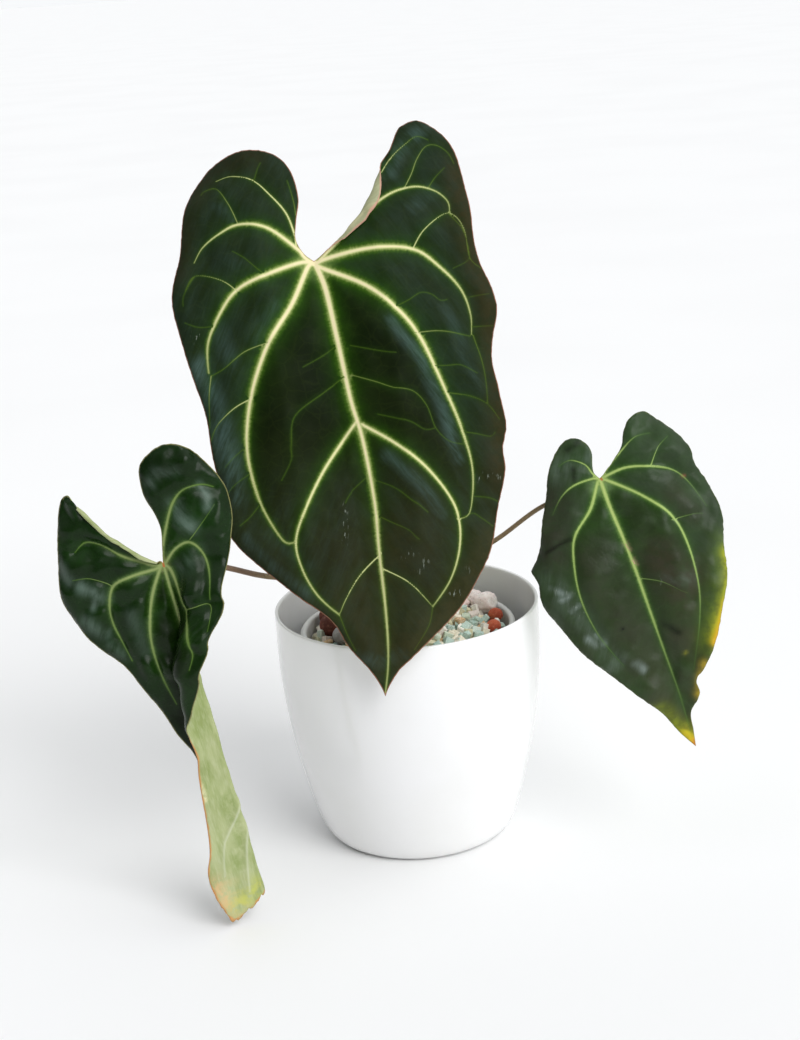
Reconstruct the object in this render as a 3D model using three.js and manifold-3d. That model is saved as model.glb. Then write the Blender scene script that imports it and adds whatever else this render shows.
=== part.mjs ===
// A potted plant with three heart-shaped leaves, in millimetres, +Z up.
// The origin is the centre of the pot's underside.
import * as THREE from 'three';
import { mergeVertices } from 'three/addons/utils/BufferGeometryUtils.js';
import Module from 'manifold-3d';

const wasm = await Module();
wasm.setup();

// Outer pot: outer radius at each height, from the foot to the rim.
const POT_OUTLINE = [[53, 0], [57, 2], [60.5, 8], [64.5, 20], [69.5, 40], [75.5, 70], [79.5, 108],
  [80, 146]];
const POT_WALL = 2.2;
const POT_LIP = 0.6;
const POT_FLOOR = 3;
const POT_SIDES = 56;

// Grower's pot inside it.
const LINER_FOOT_RADIUS = 46;
const LINER_TOP_RADIUS = 63;
const LINER_HEIGHT = 128;
const LINER_WALL = 1.4;
const LINER_RIM_RADIUS = 65.6;
const LINER_RIM_DEPTH = 7;
const LINER_ROUND = 1.5;
const LINER_EDGE = 0.8;
const LINER_SIDES = 40;
const DRAIN_COUNT = 6;
const DRAIN_RADIUS = 4;
const DRAIN_CIRCLE = 30;
const DRAIN_SIDES = 12;

// Every resting or fitted pair keeps this gap.
const GAP = 0.3;

// Mineral mix.
const MIX_EDGE_HEIGHT = 124;
const MIX_RINGS = [58, 44, 28, 13];
const MIX_MOUND = 8;
const MIX_LEAN = 0.13;
const CHIP_COUNT = 64;
const CHIP_RADIUS = [3.6, 6];
const CHIP_SQUASH = [1.15, 0.9, 0.75];
const CHIP_SEED = 11;
const STONE_LUMP = 0.05;

// Loose stones on the mix: name, centre, half sizes, colour.
const STONES = [
  ['clay_ball_1', [-47.5, 22.5, 131.2], [7.2, 7.2, 7], 0x6b2f22],
  ['clay_ball_2', [-46, 6.5, 131.2], [8, 8, 7.4], 0x8a4535],
  ['clay_ball_3', [54, 3, 132.3], [4.6, 4.4, 4.2], 0xc06a50],
  ['clay_ball_4', [51.5, -15, 131.6], [4.6, 4.6, 4.2], 0xb8604a],
  ['pebble', [-39.5, -9, 129.8], [6.6, 7, 5.6], 0xb9b4b2],
  ['pumice_lump_1', [48, 17.5, 135.2], [8.4, 7.4, 6.8], 0xf0e6e2],
  ['pumice_lump_2', [32.5, 16.5, 136], [6.4, 6.2, 5.4], 0xe9d8d6],
  ['pumice_lump_3', [42, 34, 133.2], [6, 6, 5], 0xe6dcd6],
];

// Short stem at the middle of the mix.
const CROWN_AT = [0, 6];
const CROWN_OUTLINE = [[0, 108], [7.5, 108], [9, 114], [9.4, 126], [8.4, 132], [8.8, 136], [7.6, 141],
  [6.6, 146], [0, 146]];
const CROWN_SIDES = 24;
const STALK_ROOT_HEIGHT = 139;
const STALK_SPREAD = 1.05;

const BLADE_THICKNESS = 0.8;
const RIB_HEIGHT = 1.1;

// Each leaf has x across, y towards its lobes and z out of its upper face, from the stalk's end.
// Margins run from the notch round a lobe to the tip. Veins run outwards from the notch or a parent.
// A half is folded by stations: y, turn at the rib, reach, turn back past the reach, in mm and degrees.
// The arch lifts the middle at each y, the curl rolls a margin over and a crease is x, top y, bottom y.
const LEAVES = {
  center: {
    junction: [-40, -10, 358],
    tip: [-15, -97, 125],
    facing: [0, -1, 0.3],
    left: [[0, -1], [-5, 4], [-8, 13], [-6, 24], [-3, 37], [-5, 54], [-12, 65], [-24, 70], [-40, 69],
      [-55, 61], [-67, 42], [-76, 12], [-82, -10], [-82, -30], [-77, -57], [-74, -85], [-73, -115],
      [-74, -136], [-68, -153], [-57, -168], [-40, -186], [-23, -203], [-16, -219], [-7, -233], [-2, -243],
      [0, -250]],
    right: [[0, -1], [4, 3], [9, 9], [15, 16], [25, 27], [35, 40], [43, 52], [53, 64], [62, 71], [71, 73],
      [80, 66], [87, 54], [91, 37], [92, 18], [91, 0], [93, -16], [96, -30], [97, -46], [93, -61],
      [90, -76], [91, -93], [93, -110], [88, -124], [87, -136], [82, -152], [73, -175], [64, -190],
      [48, -209], [20, -230], [10, -237], [3, -245], [0, -250]],
    curl: {
      radius: 2.2,
      turn: 165,
      line: [[4, -1], [11, 2], [21.5, 8], [33, 20], [43, 33], [49, 46], [54, 58]],
    },
    veins: [
      [[0, -1], [4, -18], [6, -48], [8, -83], [11, -106], [12, -141], [10, -169], [8, -203], [5, -230],
        [0, -249]],
      [[-4, -4], [-16, -24], [-32, -44], [-45, -68], [-52, -90], [-54, -111], [-51, -133], [-42, -155],
        [-35, -157]],
      [[-7, -1], [-26, -5], [-45, -11], [-57, -23], [-66, -38], [-68, -55]],
      [[-8, 7], [-22, 21], [-38, 26], [-50, 23], [-61, 17], [-67, 9]],
      [[-8, 14], [-11, 28], [-19, 41], [-27, 51], [-39, 56], [-48, 55]],
      [[4, -6], [26, -20], [41, -36], [52, -55], [61, -86], [67, -110], [69, -133], [64, -156], [56, -159]],
      [[8, -1], [32, 0], [56, -4], [70, -17], [79, -31], [82, -46], [81, -57]],
      [[32, 19], [41, 26], [52, 31], [64, 32], [74, 28], [80, 21], [80, 14]],
      [[9, -96], [-2, -107], [-15, -122], [-27, -140], [-35, -157], [-34, -173], [-28, -188], [-18, -201]],
      [[12, -98], [28, -111], [43, -127], [54, -146], [57, -160], [54, -176], [46, -192], [34, -205]],
      [[11, -171], [-3, -181], [-13, -193], [-18, -201]],
      [[11, -180], [24, -190], [34, -205]],
    ],
    stretch: 1.02,
    leftFold: [[70, 8, 30, 22], [0, 12, 30, 20], [-150, 12, 28, 22], [-250, 8, 10, 6]],
    rightFold: [[70, 4, 40, 14], [0, 10, 36, 20], [-150, 14, 34, 26], [-250, 8, 10, 6]],
    arch: [[72, -9], [20, -1], [-60, 3], [-160, 2], [-225, 0], [-250, 1]],
    wave: { height: 2.6, length: 47, reach: 13, start: 0.6 },
    pucker: { height: 2.6, width: 10, fade: [[0, 1], [-1, 1]] },
    cell: 9.5,
  },
  right: {
    junction: [115, -40, 227],
    tip: [163, -72, 70],
    facing: [0, -1, 0.3],
    left: [[0, 0], [-2, 4], [-1, 9], [1, 15], [0, 21], [-5, 26], [-12, 26], [-20, 20], [-27, 11], [-33, -1],
      [-39, -13], [-45, -25], [-51, -33], [-56, -38], [-54, -46], [-56, -56], [-54, -68], [-46, -86],
      [-37, -103], [-23, -124], [-12, -141], [-6, -156], [0, -167]],
    right: [[0, 0], [5, 3], [12, 8], [18, 13], [22, 20], [28, 26], [37, 27], [43, 21], [50, 11], [54, -1],
      [54, -10], [58, -22], [59, -36], [57, -53], [51, -72], [42, -90], [31, -109], [21, -121], [13, -128],
      [12, -137], [4, -146], [2, -157], [0, -167]],
    veins: [
      [[0, 0], [0, -20], [1, -44], [1, -82], [1, -107], [1, -132], [0, -159]],
      [[-2, -2], [-11, -15], [-24, -26], [-30, -39], [-34, -60], [-32, -82], [-24, -106]],
      [[-3, 1], [-15, 1], [-24, -3], [-32, -11]],
      [[-3, 4], [-5, 10], [-12, 15], [-19, 14]],
      [[3, -2], [19, -17], [31, -34], [34, -54], [32, -75], [26, -95], [14, -121]],
      [[3, 0], [16, 1], [29, -3], [41, -10], [48, -21], [52, -36]],
      [[6, 4], [18, 11], [27, 15], [36, 14]],
    ],
    stretch: 1.015,
    leftFold: [[28, -12, 12, -10], [0, -6, 20, 12], [-60, 6, 26, 26], [-167, 10, 8, 6]],
    rightFold: [[28, 6, 24, 22], [0, 12, 26, 24], [-60, 14, 24, 26], [-120, 24, 12, 6], [-167, 26, 6, 4]],
    arch: [[30, -7], [0, 0], [-60, 4], [-120, 3], [-167, -2]],
    wave: { height: 2.2, length: 38, reach: 10, start: 2.1 },
    pucker: { height: 2.4, width: 8, fade: [[0, 1], [-1, 1]] },
    cell: 9,
  },
  left: {
    junction: [-131.5, -92, 210],
    tip: [-94, -107, 18],
    facing: [0, -1, 0.3],
    left: [[0, 0], [-7, 4], [-14, 13], [-22, 24], [-30, 35], [-37, 45], [-42, 49], [-47, 44], [-51, 31],
      [-56, 15], [-59, 2], [-59, -11], [-54, -26], [-47, -37], [-37, -51], [-30, -66], [-24, -83],
      [-19, -97], [-14, -110], [-12, -126], [-12, -150], [-14, -168], [-16, -182], [-13, -193], [-7, -196],
      [0, -196]],
    right: [[0, 0], [2, 8], [4, 18], [3, 27], [0, 37], [0, 46], [2, 54], [8, 59], [16, 62], [24, 61],
      [32, 55], [38, 46], [43, 36], [45, 27], [44, 15], [40, 4], [36, -8], [35, -20], [37, -32], [38, -46],
      [36, -60], [32, -76], [26, -92], [21, -104], [20, -112], [22, -122], [24, -134], [25.5, -150],
      [29, -164], [33, -175], [33.5, -187], [31, -199], [27, -208], [18, -206], [8, -201], [0, -196]],
    curl: {
      radius: 2,
      turn: 165,
      line: [[-4, -1], [-12, 6], [-20, 15], [-28, 26], [-35, 37], [-41, 48]],
    },
    veins: [
      [[0, -1], [0, -40], [0, -90], [0, -140], [0, -194]],
      [[-2, -2], [-11, -16], [-17, -32], [-19, -47], [-18, -62], [-15, -79]],
      [[-4, -2], [-20, -2], [-30, -5], [-35, -15], [-36, -25], [-34, -36], [-32, -48]],
      [[-11, 4], [-20, 10], [-30, 19], [-38, 22], [-45, 18]],
      [[2, 7], [8, 20], [17, 32], [27, 37], [35, 35], [37, 29]],
      [[2, 1], [9, 6], [16, 6], [21, -1], [23, -12], [22, -22]],
      [[3, -4], [11, -18], [18, -32], [24, -46], [27, -60], [23, -76]],
    ],
    creases: [[3.3, -30, -192], [6.6, -30, -192], [16.5, -30, -96], [22, -30, -86], [27.5, -30, -80]],
    stretch: 1,
    leftFold: [[60, 6, 22, 14], [0, 14, 20, 22], [-50, 20, 14, 26], [-90, 4, 10, 10], [-195, -14, 10, 4]],
    rightFold: [[60, 4, 26, 20], [0, 10, 18, 16], [-24, 60, 14, 52], [-46, 112, 16, 104],
      [-62, 128, 17, 112], [-80, 142, 17, 110], [-92, 150, 17, 80], [-106, 158, 18, 20], [-125, 160, 20, 0],
      [-195, 156, 26, 0]],
    arch: [[60, -6], [0, 0], [-60, 1], [-120, 2], [-195, 0]],
    wave: { height: 1.2, length: 31, reach: 8, start: 0.4 },
    pucker: { height: 2.8, width: 7, fade: [[-50, 1], [-88, 0.2]] },
    cell: 7.5,
  },
};
const OUTLINE_STEP = 6;
const VEIN_STEP = 7.5;
const VEIN_TO_EDGE = 2.2;
const VEIN_ROOM = 3;
const CREASE_ROOM = 2;
const CURL_ROWS = [0, 1.2, 2.4];
const GRID_REACH = 40;
const SIDE_RIB = 0.6;
const FOLD_RADIUS = 2.4;
const TURN_BACK_RADIUS = 6;
const CALM_AT_RIB = 20;
const FLAT_AT_EDGE = 8;
const OTHER_HALF_PHASE = 1.9;

// Leaf stalks: points from the crown to the back of the leaf, and the radius.
const STALKS = {
  center: { start: [-3, 9], via: [[-6, 17, 205], [-15, 19, 275], [-29, 7, 338]], radius: 2 },
  left: { start: [-4, 2], via: [[-31, -8, 164], [-79, -38, 180], [-108, -64, 197]], radius: 1.8 },
  right: { start: [4, 3], via: [[28, 2, 164], [57, -8, 184.5], [87, -23, 209]], radius: 1.5 },
};
const STALK_BEND = 9;
const STALK_SIDES = 8;
const STALK_STEPS = 22;

const COLOURS = {
  pot: [0xf6f6f4, 0.12],
  liner: [0xdfe0de, 0.35],
  mix: [0xb9a890, 0.9],
  crown: [0x6a5a3a, 0.8],
  stalk: [0x7a6248, 0.6],
  center: [0x2b3a20, 0.55],
  right: [0x35502c, 0.5],
  left: [0x2f4a24, 0.35],
};

function material(colour, roughness) {
  return new THREE.MeshStandardMaterial({ color: colour, roughness, metalness: 0, side: THREE.DoubleSide });
}

function named(name, geometry, colour, roughness) {
  const mesh = new THREE.Mesh(geometry, material(colour, roughness));
  mesh.name = name;
  return mesh;
}

// A repeatable stream of numbers from 0 to 1.
function seeded(seed) {
  let state = seed;
  return () => {
    state = (state * 1664525 + 1013904223) % 4294967296;
    return state / 4294967296;
  };
}

function toSolid(geometry) {
  const bare = geometry.clone();
  bare.deleteAttribute('normal');
  bare.deleteAttribute('uv');
  const merged = mergeVertices(bare, 1e-4);
  return new wasm.Manifold(new wasm.Mesh({
    numProp: 3,
    vertProperties: new Float32Array(merged.attributes.position.array),
    triVerts: new Uint32Array(merged.index.array),
  }));
}

function toGeometry(solid) {
  const mesh = solid.getMesh();
  const geometry = new THREE.BufferGeometry();
  geometry.setAttribute('position', new THREE.BufferAttribute(new Float32Array(mesh.vertProperties), 3));
  geometry.setIndex(new THREE.BufferAttribute(new Uint32Array(mesh.triVerts), 1));
  geometry.computeVertexNormals();
  return geometry;
}

// A solid of revolution about Z from [radius, height] pairs listed from the bottom to the top outside.
function turned(outline, sides) {
  const lathe = new THREE.LatheGeometry(outline.map(([r, z]) => new THREE.Vector2(r, z)), sides);
  return lathe.rotateX(Math.PI / 2);
}

function radiusAt(outline, height) {
  for (let i = 1; i < outline.length; i += 1) {
    const [r0, z0] = outline[i - 1];
    const [r1, z1] = outline[i];
    if (height <= z1) return r0 + ((r1 - r0) * (height - z0)) / (z1 - z0);
  }
  return outline[outline.length - 1][0];
}

function outerPot() {
  const top = POT_OUTLINE[POT_OUTLINE.length - 1][1];
  const rim = POT_OUTLINE[POT_OUTLINE.length - 1][0];
  const inner = POT_OUTLINE.filter(([, z]) => z > POT_FLOOR && z < top);
  const floorRadius = radiusAt(POT_OUTLINE, POT_FLOOR) - POT_WALL * 1.6;
  const outline = [[0, 0], ...POT_OUTLINE.slice(0, -1)];
  outline.push([rim, top - POT_LIP], [rim - POT_LIP, top], [rim - POT_WALL + POT_LIP, top]);
  outline.push([rim - POT_WALL, top - POT_LIP]);
  inner.reverse().forEach(([r, z]) => outline.push([r - POT_WALL, z]));
  outline.push([floorRadius, POT_FLOOR], [0, POT_FLOOR]);
  return named('outer_pot', turned(outline, POT_SIDES), ...COLOURS.pot);
}

function linerOutline() {
  const base = POT_FLOOR + GAP;
  const top = base + LINER_HEIGHT;
  const rimFoot = top - LINER_RIM_DEPTH;
  const taper = (LINER_TOP_RADIUS - LINER_FOOT_RADIUS) / LINER_HEIGHT;
  const wallRadius = (z) => LINER_FOOT_RADIUS + taper * (z - base);
  const bore = (z) => wallRadius(z) - LINER_WALL;
  return { base, top, rimFoot, wallRadius, bore };
}

function innerPot() {
  const { base, top, rimFoot, wallRadius, bore } = linerOutline();
  const floorTop = base + LINER_WALL;
  const outline = [
    [0, base], [LINER_FOOT_RADIUS - LINER_ROUND, base], [LINER_FOOT_RADIUS, base + LINER_ROUND],
    [wallRadius(rimFoot), rimFoot], [LINER_RIM_RADIUS - LINER_EDGE, rimFoot],
    [LINER_RIM_RADIUS, rimFoot + LINER_ROUND], [LINER_RIM_RADIUS, top - LINER_ROUND],
    [LINER_RIM_RADIUS - LINER_EDGE, top], [bore(top) + LINER_EDGE, top],
    [bore(top - 1), top - 1], [bore(floorTop + 1), floorTop + 1], [bore(floorTop) - 1, floorTop],
    [0, floorTop],
  ];
  let solid = toSolid(turned(outline, LINER_SIDES));
  for (let i = 0; i < DRAIN_COUNT; i += 1) {
    const angle = (i / DRAIN_COUNT) * Math.PI * 2;
    const drill = new THREE.CylinderGeometry(DRAIN_RADIUS, DRAIN_RADIUS, 4 * LINER_WALL, DRAIN_SIDES);
    drill.rotateX(Math.PI / 2);
    drill.translate(DRAIN_CIRCLE * Math.cos(angle), DRAIN_CIRCLE * Math.sin(angle), base);
    solid = solid.subtract(toSolid(drill));
  }
  return named('inner_pot', toGeometry(solid), ...COLOURS.liner);
}

// Height of the mix's surface: a low mound that leans up towards the back right.
function mixHeight(x, y) {
  const edge = LINER_TOP_RADIUS - LINER_WALL;
  const rise = Math.max(0, 1 - (x * x + y * y) / (edge * edge));
  return MIX_EDGE_HEIGHT + MIX_MOUND * rise + MIX_LEAN * (x * 0.8 + y * 0.6) * Math.sqrt(rise);
}

function stoneGeometry([, centre, half], grow) {
  const stone = new THREE.IcosahedronGeometry(1, 2);
  const position = stone.attributes.position;
  const point = new THREE.Vector3();
  for (let i = 0; i < position.count; i += 1) {
    point.fromBufferAttribute(position, i);
    const lump = 1 + STONE_LUMP * Math.sin(3.1 * point.x + centre[0]) * Math.cos(2.7 * point.y + centre[1]);
    const [hx, hy, hz] = half.map((size) => size * lump + grow);
    position.setXYZ(i, point.x * hx, point.y * hy, point.z * hz);
  }
  return stone.translate(...centre);
}

function crownGeometry(grow) {
  const wide = CROWN_OUTLINE.map(([r, z], i) => [r === 0 ? 0 : r + grow, i < 2 ? z - grow : z]);
  return turned(wide, CROWN_SIDES).translate(CROWN_AT[0], CROWN_AT[1], 0);
}

function substrate() {
  const { base, bore } = linerOutline();
  const foot = base + LINER_WALL + GAP;
  const ringHeights = MIX_RINGS.map((r) => [r, MIX_EDGE_HEIGHT]);
  const edge = [bore(MIX_EDGE_HEIGHT) - GAP, MIX_EDGE_HEIGHT];
  const corner = foot + LINER_ROUND;
  const profile = [[0, foot], [bore(foot) - GAP - LINER_ROUND, foot], [bore(corner) - GAP, corner], edge];
  const body = turned([...profile, ...ringHeights, [0, MIX_EDGE_HEIGHT]], LINER_SIDES);
  const position = body.attributes.position;
  for (let i = 0; i < position.count; i += 1) {
    const x = position.getX(i);
    const y = position.getY(i);
    const onTop = position.getZ(i) > MIX_EDGE_HEIGHT - 1 && Math.hypot(x, y) < edge[0] - 1;
    if (onTop) position.setZ(i, mixHeight(x, y));
  }
  let solid = toSolid(body);
  const random = seeded(CHIP_SEED);
  const golden = Math.PI * (3 - Math.sqrt(5));
  for (let i = 0; i < CHIP_COUNT; i += 1) {
    const size = CHIP_RADIUS[0] + (CHIP_RADIUS[1] - CHIP_RADIUS[0]) * random();
    const reach = (edge[0] - size * 1.25) * Math.sqrt((i + 0.5) / CHIP_COUNT);
    const x = reach * Math.cos(i * golden);
    const y = reach * Math.sin(i * golden);
    const chip = i % 2 === 0 ? new THREE.OctahedronGeometry(size) : new THREE.IcosahedronGeometry(size);
    chip.rotateX(random() * Math.PI).rotateY(random() * Math.PI).scale(...CHIP_SQUASH);
    chip.rotateZ(random() * Math.PI);
    chip.translate(x, y, mixHeight(x, y) + size * 0.1);
    solid = solid.add(toSolid(chip));
  }
  STONES.forEach((stone) => {
    solid = solid.subtract(toSolid(stoneGeometry(stone, GAP)));
  });
  solid = solid.subtract(toSolid(crownGeometry(GAP)));
  const pieces = solid.decompose();
  pieces.sort((a, b) => b.volume() - a.volume());
  return named('substrate', toGeometry(pieces[0]), ...COLOURS.mix);
}

function stones() {
  return STONES.map((stone) => named(stone[0], stoneGeometry(stone, 0), stone[3], 0.85));
}

// The leaf's own axes: across, towards the lobes, and out of the upper face.
function leafAxes(leaf) {
  const junction = new THREE.Vector3(...leaf.junction);
  const up = junction.clone().sub(new THREE.Vector3(...leaf.tip)).normalize();
  const facing = new THREE.Vector3(...leaf.facing);
  const out = facing.addScaledVector(up, -facing.dot(up)).normalize();
  const across = new THREE.Vector3().crossVectors(up, out);
  return { junction, up, out, across };
}

// Runs from the crown to the underside of the leaf's midrib, which it meets square on.
function stalkCurve(name) {
  const stalk = STALKS[name];
  const leaf = LEAVES[name];
  const { junction, up, out, across } = leafAxes(leaf);
  const seat = leaf.veinLines[0][1];
  const toWorld = new THREE.Matrix4().makeBasis(across, up, out).setPosition(junction);
  const behind = (back) => {
    const point = bladePoint(leaf, ...seat).addScaledVector(bladeNormal(leaf, ...seat), -back);
    return point.applyMatrix4(toWorld);
  };
  const [x, y] = stalk.start;
  const points = [
    new THREE.Vector3(x, y, STALK_ROOT_HEIGHT),
    new THREE.Vector3(x * STALK_SPREAD, y * STALK_SPREAD, STALK_ROOT_HEIGHT + STALK_BEND),
    ...stalk.via.map((at) => new THREE.Vector3(...at)),
    behind(STALK_BEND),
    behind(BLADE_THICKNESS / 2 + RIB_HEIGHT + GAP),
  ];
  return new THREE.CatmullRomCurve3(points, false, 'centripetal');
}

function tube(curve, radius, steps) {
  const section = new THREE.Shape();
  for (let i = 0; i < STALK_SIDES; i += 1) {
    const angle = (i / STALK_SIDES) * Math.PI * 2;
    if (i === 0) section.moveTo(radius, 0);
    else section.lineTo(radius * Math.cos(angle), radius * Math.sin(angle));
  }
  return new THREE.ExtrudeGeometry(section, { steps, extrudePath: curve, bevelEnabled: false });
}

function stalkNode(name) {
  const geometry = tube(stalkCurve(name), STALKS[name].radius, STALK_STEPS);
  return named(`petiole_${name}`, geometry, ...COLOURS.stalk);
}

// The crown, with a blind hole for the foot of each stalk.
function crown() {
  let solid = toSolid(crownGeometry(0));
  Object.values(STALKS).forEach(({ start: [x, y], radius }) => {
    const foot = new THREE.Vector3(x, y, STALK_ROOT_HEIGHT - GAP);
    const above = new THREE.Vector3(x * STALK_SPREAD, y * STALK_SPREAD, STALK_ROOT_HEIGHT + STALK_BEND);
    solid = solid.subtract(toSolid(tube(new THREE.LineCurve3(foot, above), radius + 2 * GAP, 1)));
  });
  return named('crown', toGeometry(solid), ...COLOURS.crown);
}

// Smooth value between stations listed by falling y.
function stationAt(stations, y) {
  if (y >= stations[0][0]) return stations[0].slice(1);
  const last = stations[stations.length - 1];
  if (y <= last[0]) return last.slice(1);
  const i = stations.findIndex((station) => y > station[0]);
  const [above, below] = [stations[i - 1], stations[i]];
  const t = (above[0] - y) / (above[0] - below[0]);
  const ease = t * t * (3 - 2 * t);
  return above.slice(1).map((value, k) => value + (below[k + 1] - value) * ease);
}

// Follows a strip of blade that bends once at the rib and once more at its reach.
// Returns how far it has gone across and out, and its slope there.
function followStrip(distance, turn, reach, turnBack) {
  const rad = Math.PI / 180;
  const bend = FOLD_RADIUS * Math.abs(turn) * rad;
  const bendBack = TURN_BACK_RADIUS * Math.abs(turnBack) * rad;
  const pieces = [[bend, turn * rad], [Math.max(0.1, reach - bend), 0], [bendBack, -turnBack * rad]];
  pieces.push([Infinity, 0]);
  let left = distance;
  let slope = 0;
  let across = 0;
  let out = 0;
  for (const [length, angle] of pieces) {
    const part = Math.min(left, length);
    const bent = angle === 0 ? 0 : (angle * part) / length;
    const chord = Math.abs(bent) < 1e-6 ? part : (2 * part * Math.sin(bent / 2)) / bent;
    across += chord * Math.cos(slope + bent / 2);
    out += chord * Math.sin(slope + bent / 2);
    slope += bent;
    left -= part;
    if (left <= 0) break;
  }
  return { across, out, slope };
}

function nearestOn(points, x, y) {
  let best = { distance: Infinity };
  for (let i = 1; i < points.length; i += 1) {
    const [ax, ay] = points[i - 1];
    const [bx, by] = points[i];
    const length = Math.hypot(bx - ax, by - ay);
    const along = ((x - ax) * (bx - ax) + (y - ay) * (by - ay)) / (length * length);
    const t = Math.min(1, Math.max(0, along));
    const [px, py] = [ax + t * (bx - ax), ay + t * (by - ay)];
    const distance = Math.hypot(x - px, y - py);
    if (distance < best.distance) {
      const cross = (bx - ax) * (y - ay) - (by - ay) * (x - ax);
      const end = (i === 1 && along < 0) || (i === points.length - 1 && along > 1);
      best = { distance, cross, end, x: px, y: py, normal: [-(by - ay) / length, (bx - ax) / length] };
    }
  }
  return best;
}

// Rolls what lies past the curl line over towards the upper face.
function curled(leaf, x, y) {
  if (!leaf.curl) return { x, y, lift: 0 };
  const line = nearestOn(leaf.curl.line, x, y);
  const side = Math.sign(leaf.curl.line[1][0]);
  if (line.end || line.cross * side <= 0 || x * side < 1) return { x, y, lift: 0 };
  const { radius, turn } = leaf.curl;
  const full = (turn * Math.PI) / 180;
  const angle = Math.min(full, line.distance / radius);
  const rest = line.distance - radius * angle;
  const off = radius * Math.sin(angle) + rest * Math.cos(angle);
  const lift = radius * (1 - Math.cos(angle)) + rest * Math.sin(angle);
  return { x: line.x + line.normal[0] * side * off, y: line.y + line.normal[1] * side * off, lift };
}

// Where a point of the flat blade lies on the folded, waved one.
function bladePoint(leaf, flatX, flatY) {
  const { x, y, lift } = curled(leaf, flatX, flatY);
  const stations = x < 0 ? leaf.leftFold : leaf.rightFold;
  const [turn, reach, turnBack] = stationAt(stations, y);
  const strip = followStrip(Math.abs(x) * leaf.stretch, turn, reach, turnBack);
  const toVein = Math.min(...leaf.veinLines.map((line) => nearestOn(line, x, y).distance));
  const toEdge = nearestOn(leaf.edge, flatX, flatY).distance;
  const swell = leaf.pucker.height * stationAt(leaf.pucker.fade, y)[0] * Math.min(1, toEdge / FLAT_AT_EDGE);
  const pucker = swell * (1 - Math.exp(-((toVein / leaf.pucker.width) ** 2)));
  const { height, length, reach: waveReach, start } = leaf.wave;
  const phase = start + (2 * Math.PI * y) / length + (x < 0 ? OTHER_HALF_PHASE : 0);
  const calm = lift > 0 ? 0 : Math.exp(-toEdge / waveReach) * Math.min(1, Math.abs(x) / CALM_AT_RIB);
  const wave = height * Math.sin(phase) * calm;
  const off = lift + pucker + wave;
  const side = x < 0 ? -1 : 1;
  const across = strip.across - off * Math.sin(strip.slope);
  const out = strip.out + off * Math.cos(strip.slope) + stationAt(leaf.arch, y)[0];
  return new THREE.Vector3(side * across, y, out);
}

function bladeNormal(leaf, x, y) {
  const step = 0.4;
  const alongX = bladePoint(leaf, x + step, y).sub(bladePoint(leaf, x - step, y));
  const alongY = bladePoint(leaf, x, y + step).sub(bladePoint(leaf, x, y - step));
  return alongX.cross(alongY).normalize();
}

function spaced(points, step) {
  const curve = new THREE.SplineCurve(points.map(([x, y]) => new THREE.Vector2(x, y)));
  const count = Math.max(2, Math.round(curve.getLength() / step));
  return curve.getSpacedPoints(count).map(({ x, y }) => [x, y]);
}

function inside(polygon, x, y) {
  let within = false;
  for (let i = 0, j = polygon.length - 1; i < polygon.length; j = i, i += 1) {
    const [xi, yi] = polygon[i];
    const [xj, yj] = polygon[j];
    if (yi > y !== yj > y && x < ((xj - xi) * (y - yi)) / (yj - yi) + xi) within = !within;
  }
  return within;
}

// Joins points to triangles so that no point lies in another triangle's circle.
function delaunay(points) {
  const far = 4000;
  const all = [...points, [-far, -far], [far, -far], [0, far]];
  const n = points.length;
  let triangles = [circled(all, n, n + 1, n + 2)];
  for (let i = 0; i < n; i += 1) {
    const [x, y] = all[i];
    const edges = new Map();
    triangles = triangles.filter((t) => {
      if ((x - t.x) ** 2 + (y - t.y) ** 2 >= t.r2) return true;
      [[t.a, t.b], [t.b, t.c], [t.c, t.a]].forEach(([p, q]) => {
        if (!edges.delete(`${q},${p}`)) edges.set(`${p},${q}`, [p, q]);
      });
      return false;
    });
    edges.forEach(([p, q]) => triangles.push(circled(all, p, q, i)));
  }
  return triangles.filter((t) => t.a < n && t.b < n && t.c < n).map((t) => [t.a, t.b, t.c]);
}

function circled(all, a, b, c) {
  const [ax, ay] = all[a];
  const [bx, by] = all[b];
  const [cx, cy] = all[c];
  const d = 2 * (ax * (by - cy) + bx * (cy - ay) + cx * (ay - by));
  const [a2, b2, c2] = [ax * ax + ay * ay, bx * bx + by * by, cx * cx + cy * cy];
  const x = (a2 * (by - cy) + b2 * (cy - ay) + c2 * (ay - by)) / d;
  const y = (a2 * (cx - bx) + b2 * (ax - cx) + c2 * (bx - ax)) / d;
  return { a, b, c, x, y, r2: (ax - x) ** 2 + (ay - y) ** 2 };
}

// Draws the leaf's margin and veins as evenly spaced points.
function trace(leaf) {
  const left = spaced(leaf.left, OUTLINE_STEP);
  const right = spaced(leaf.right, OUTLINE_STEP).reverse();
  leaf.edge = [...left, ...right.slice(1)];
  leaf.veinLines = leaf.veins.map((vein) => spaced(vein, VEIN_STEP));
}

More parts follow.
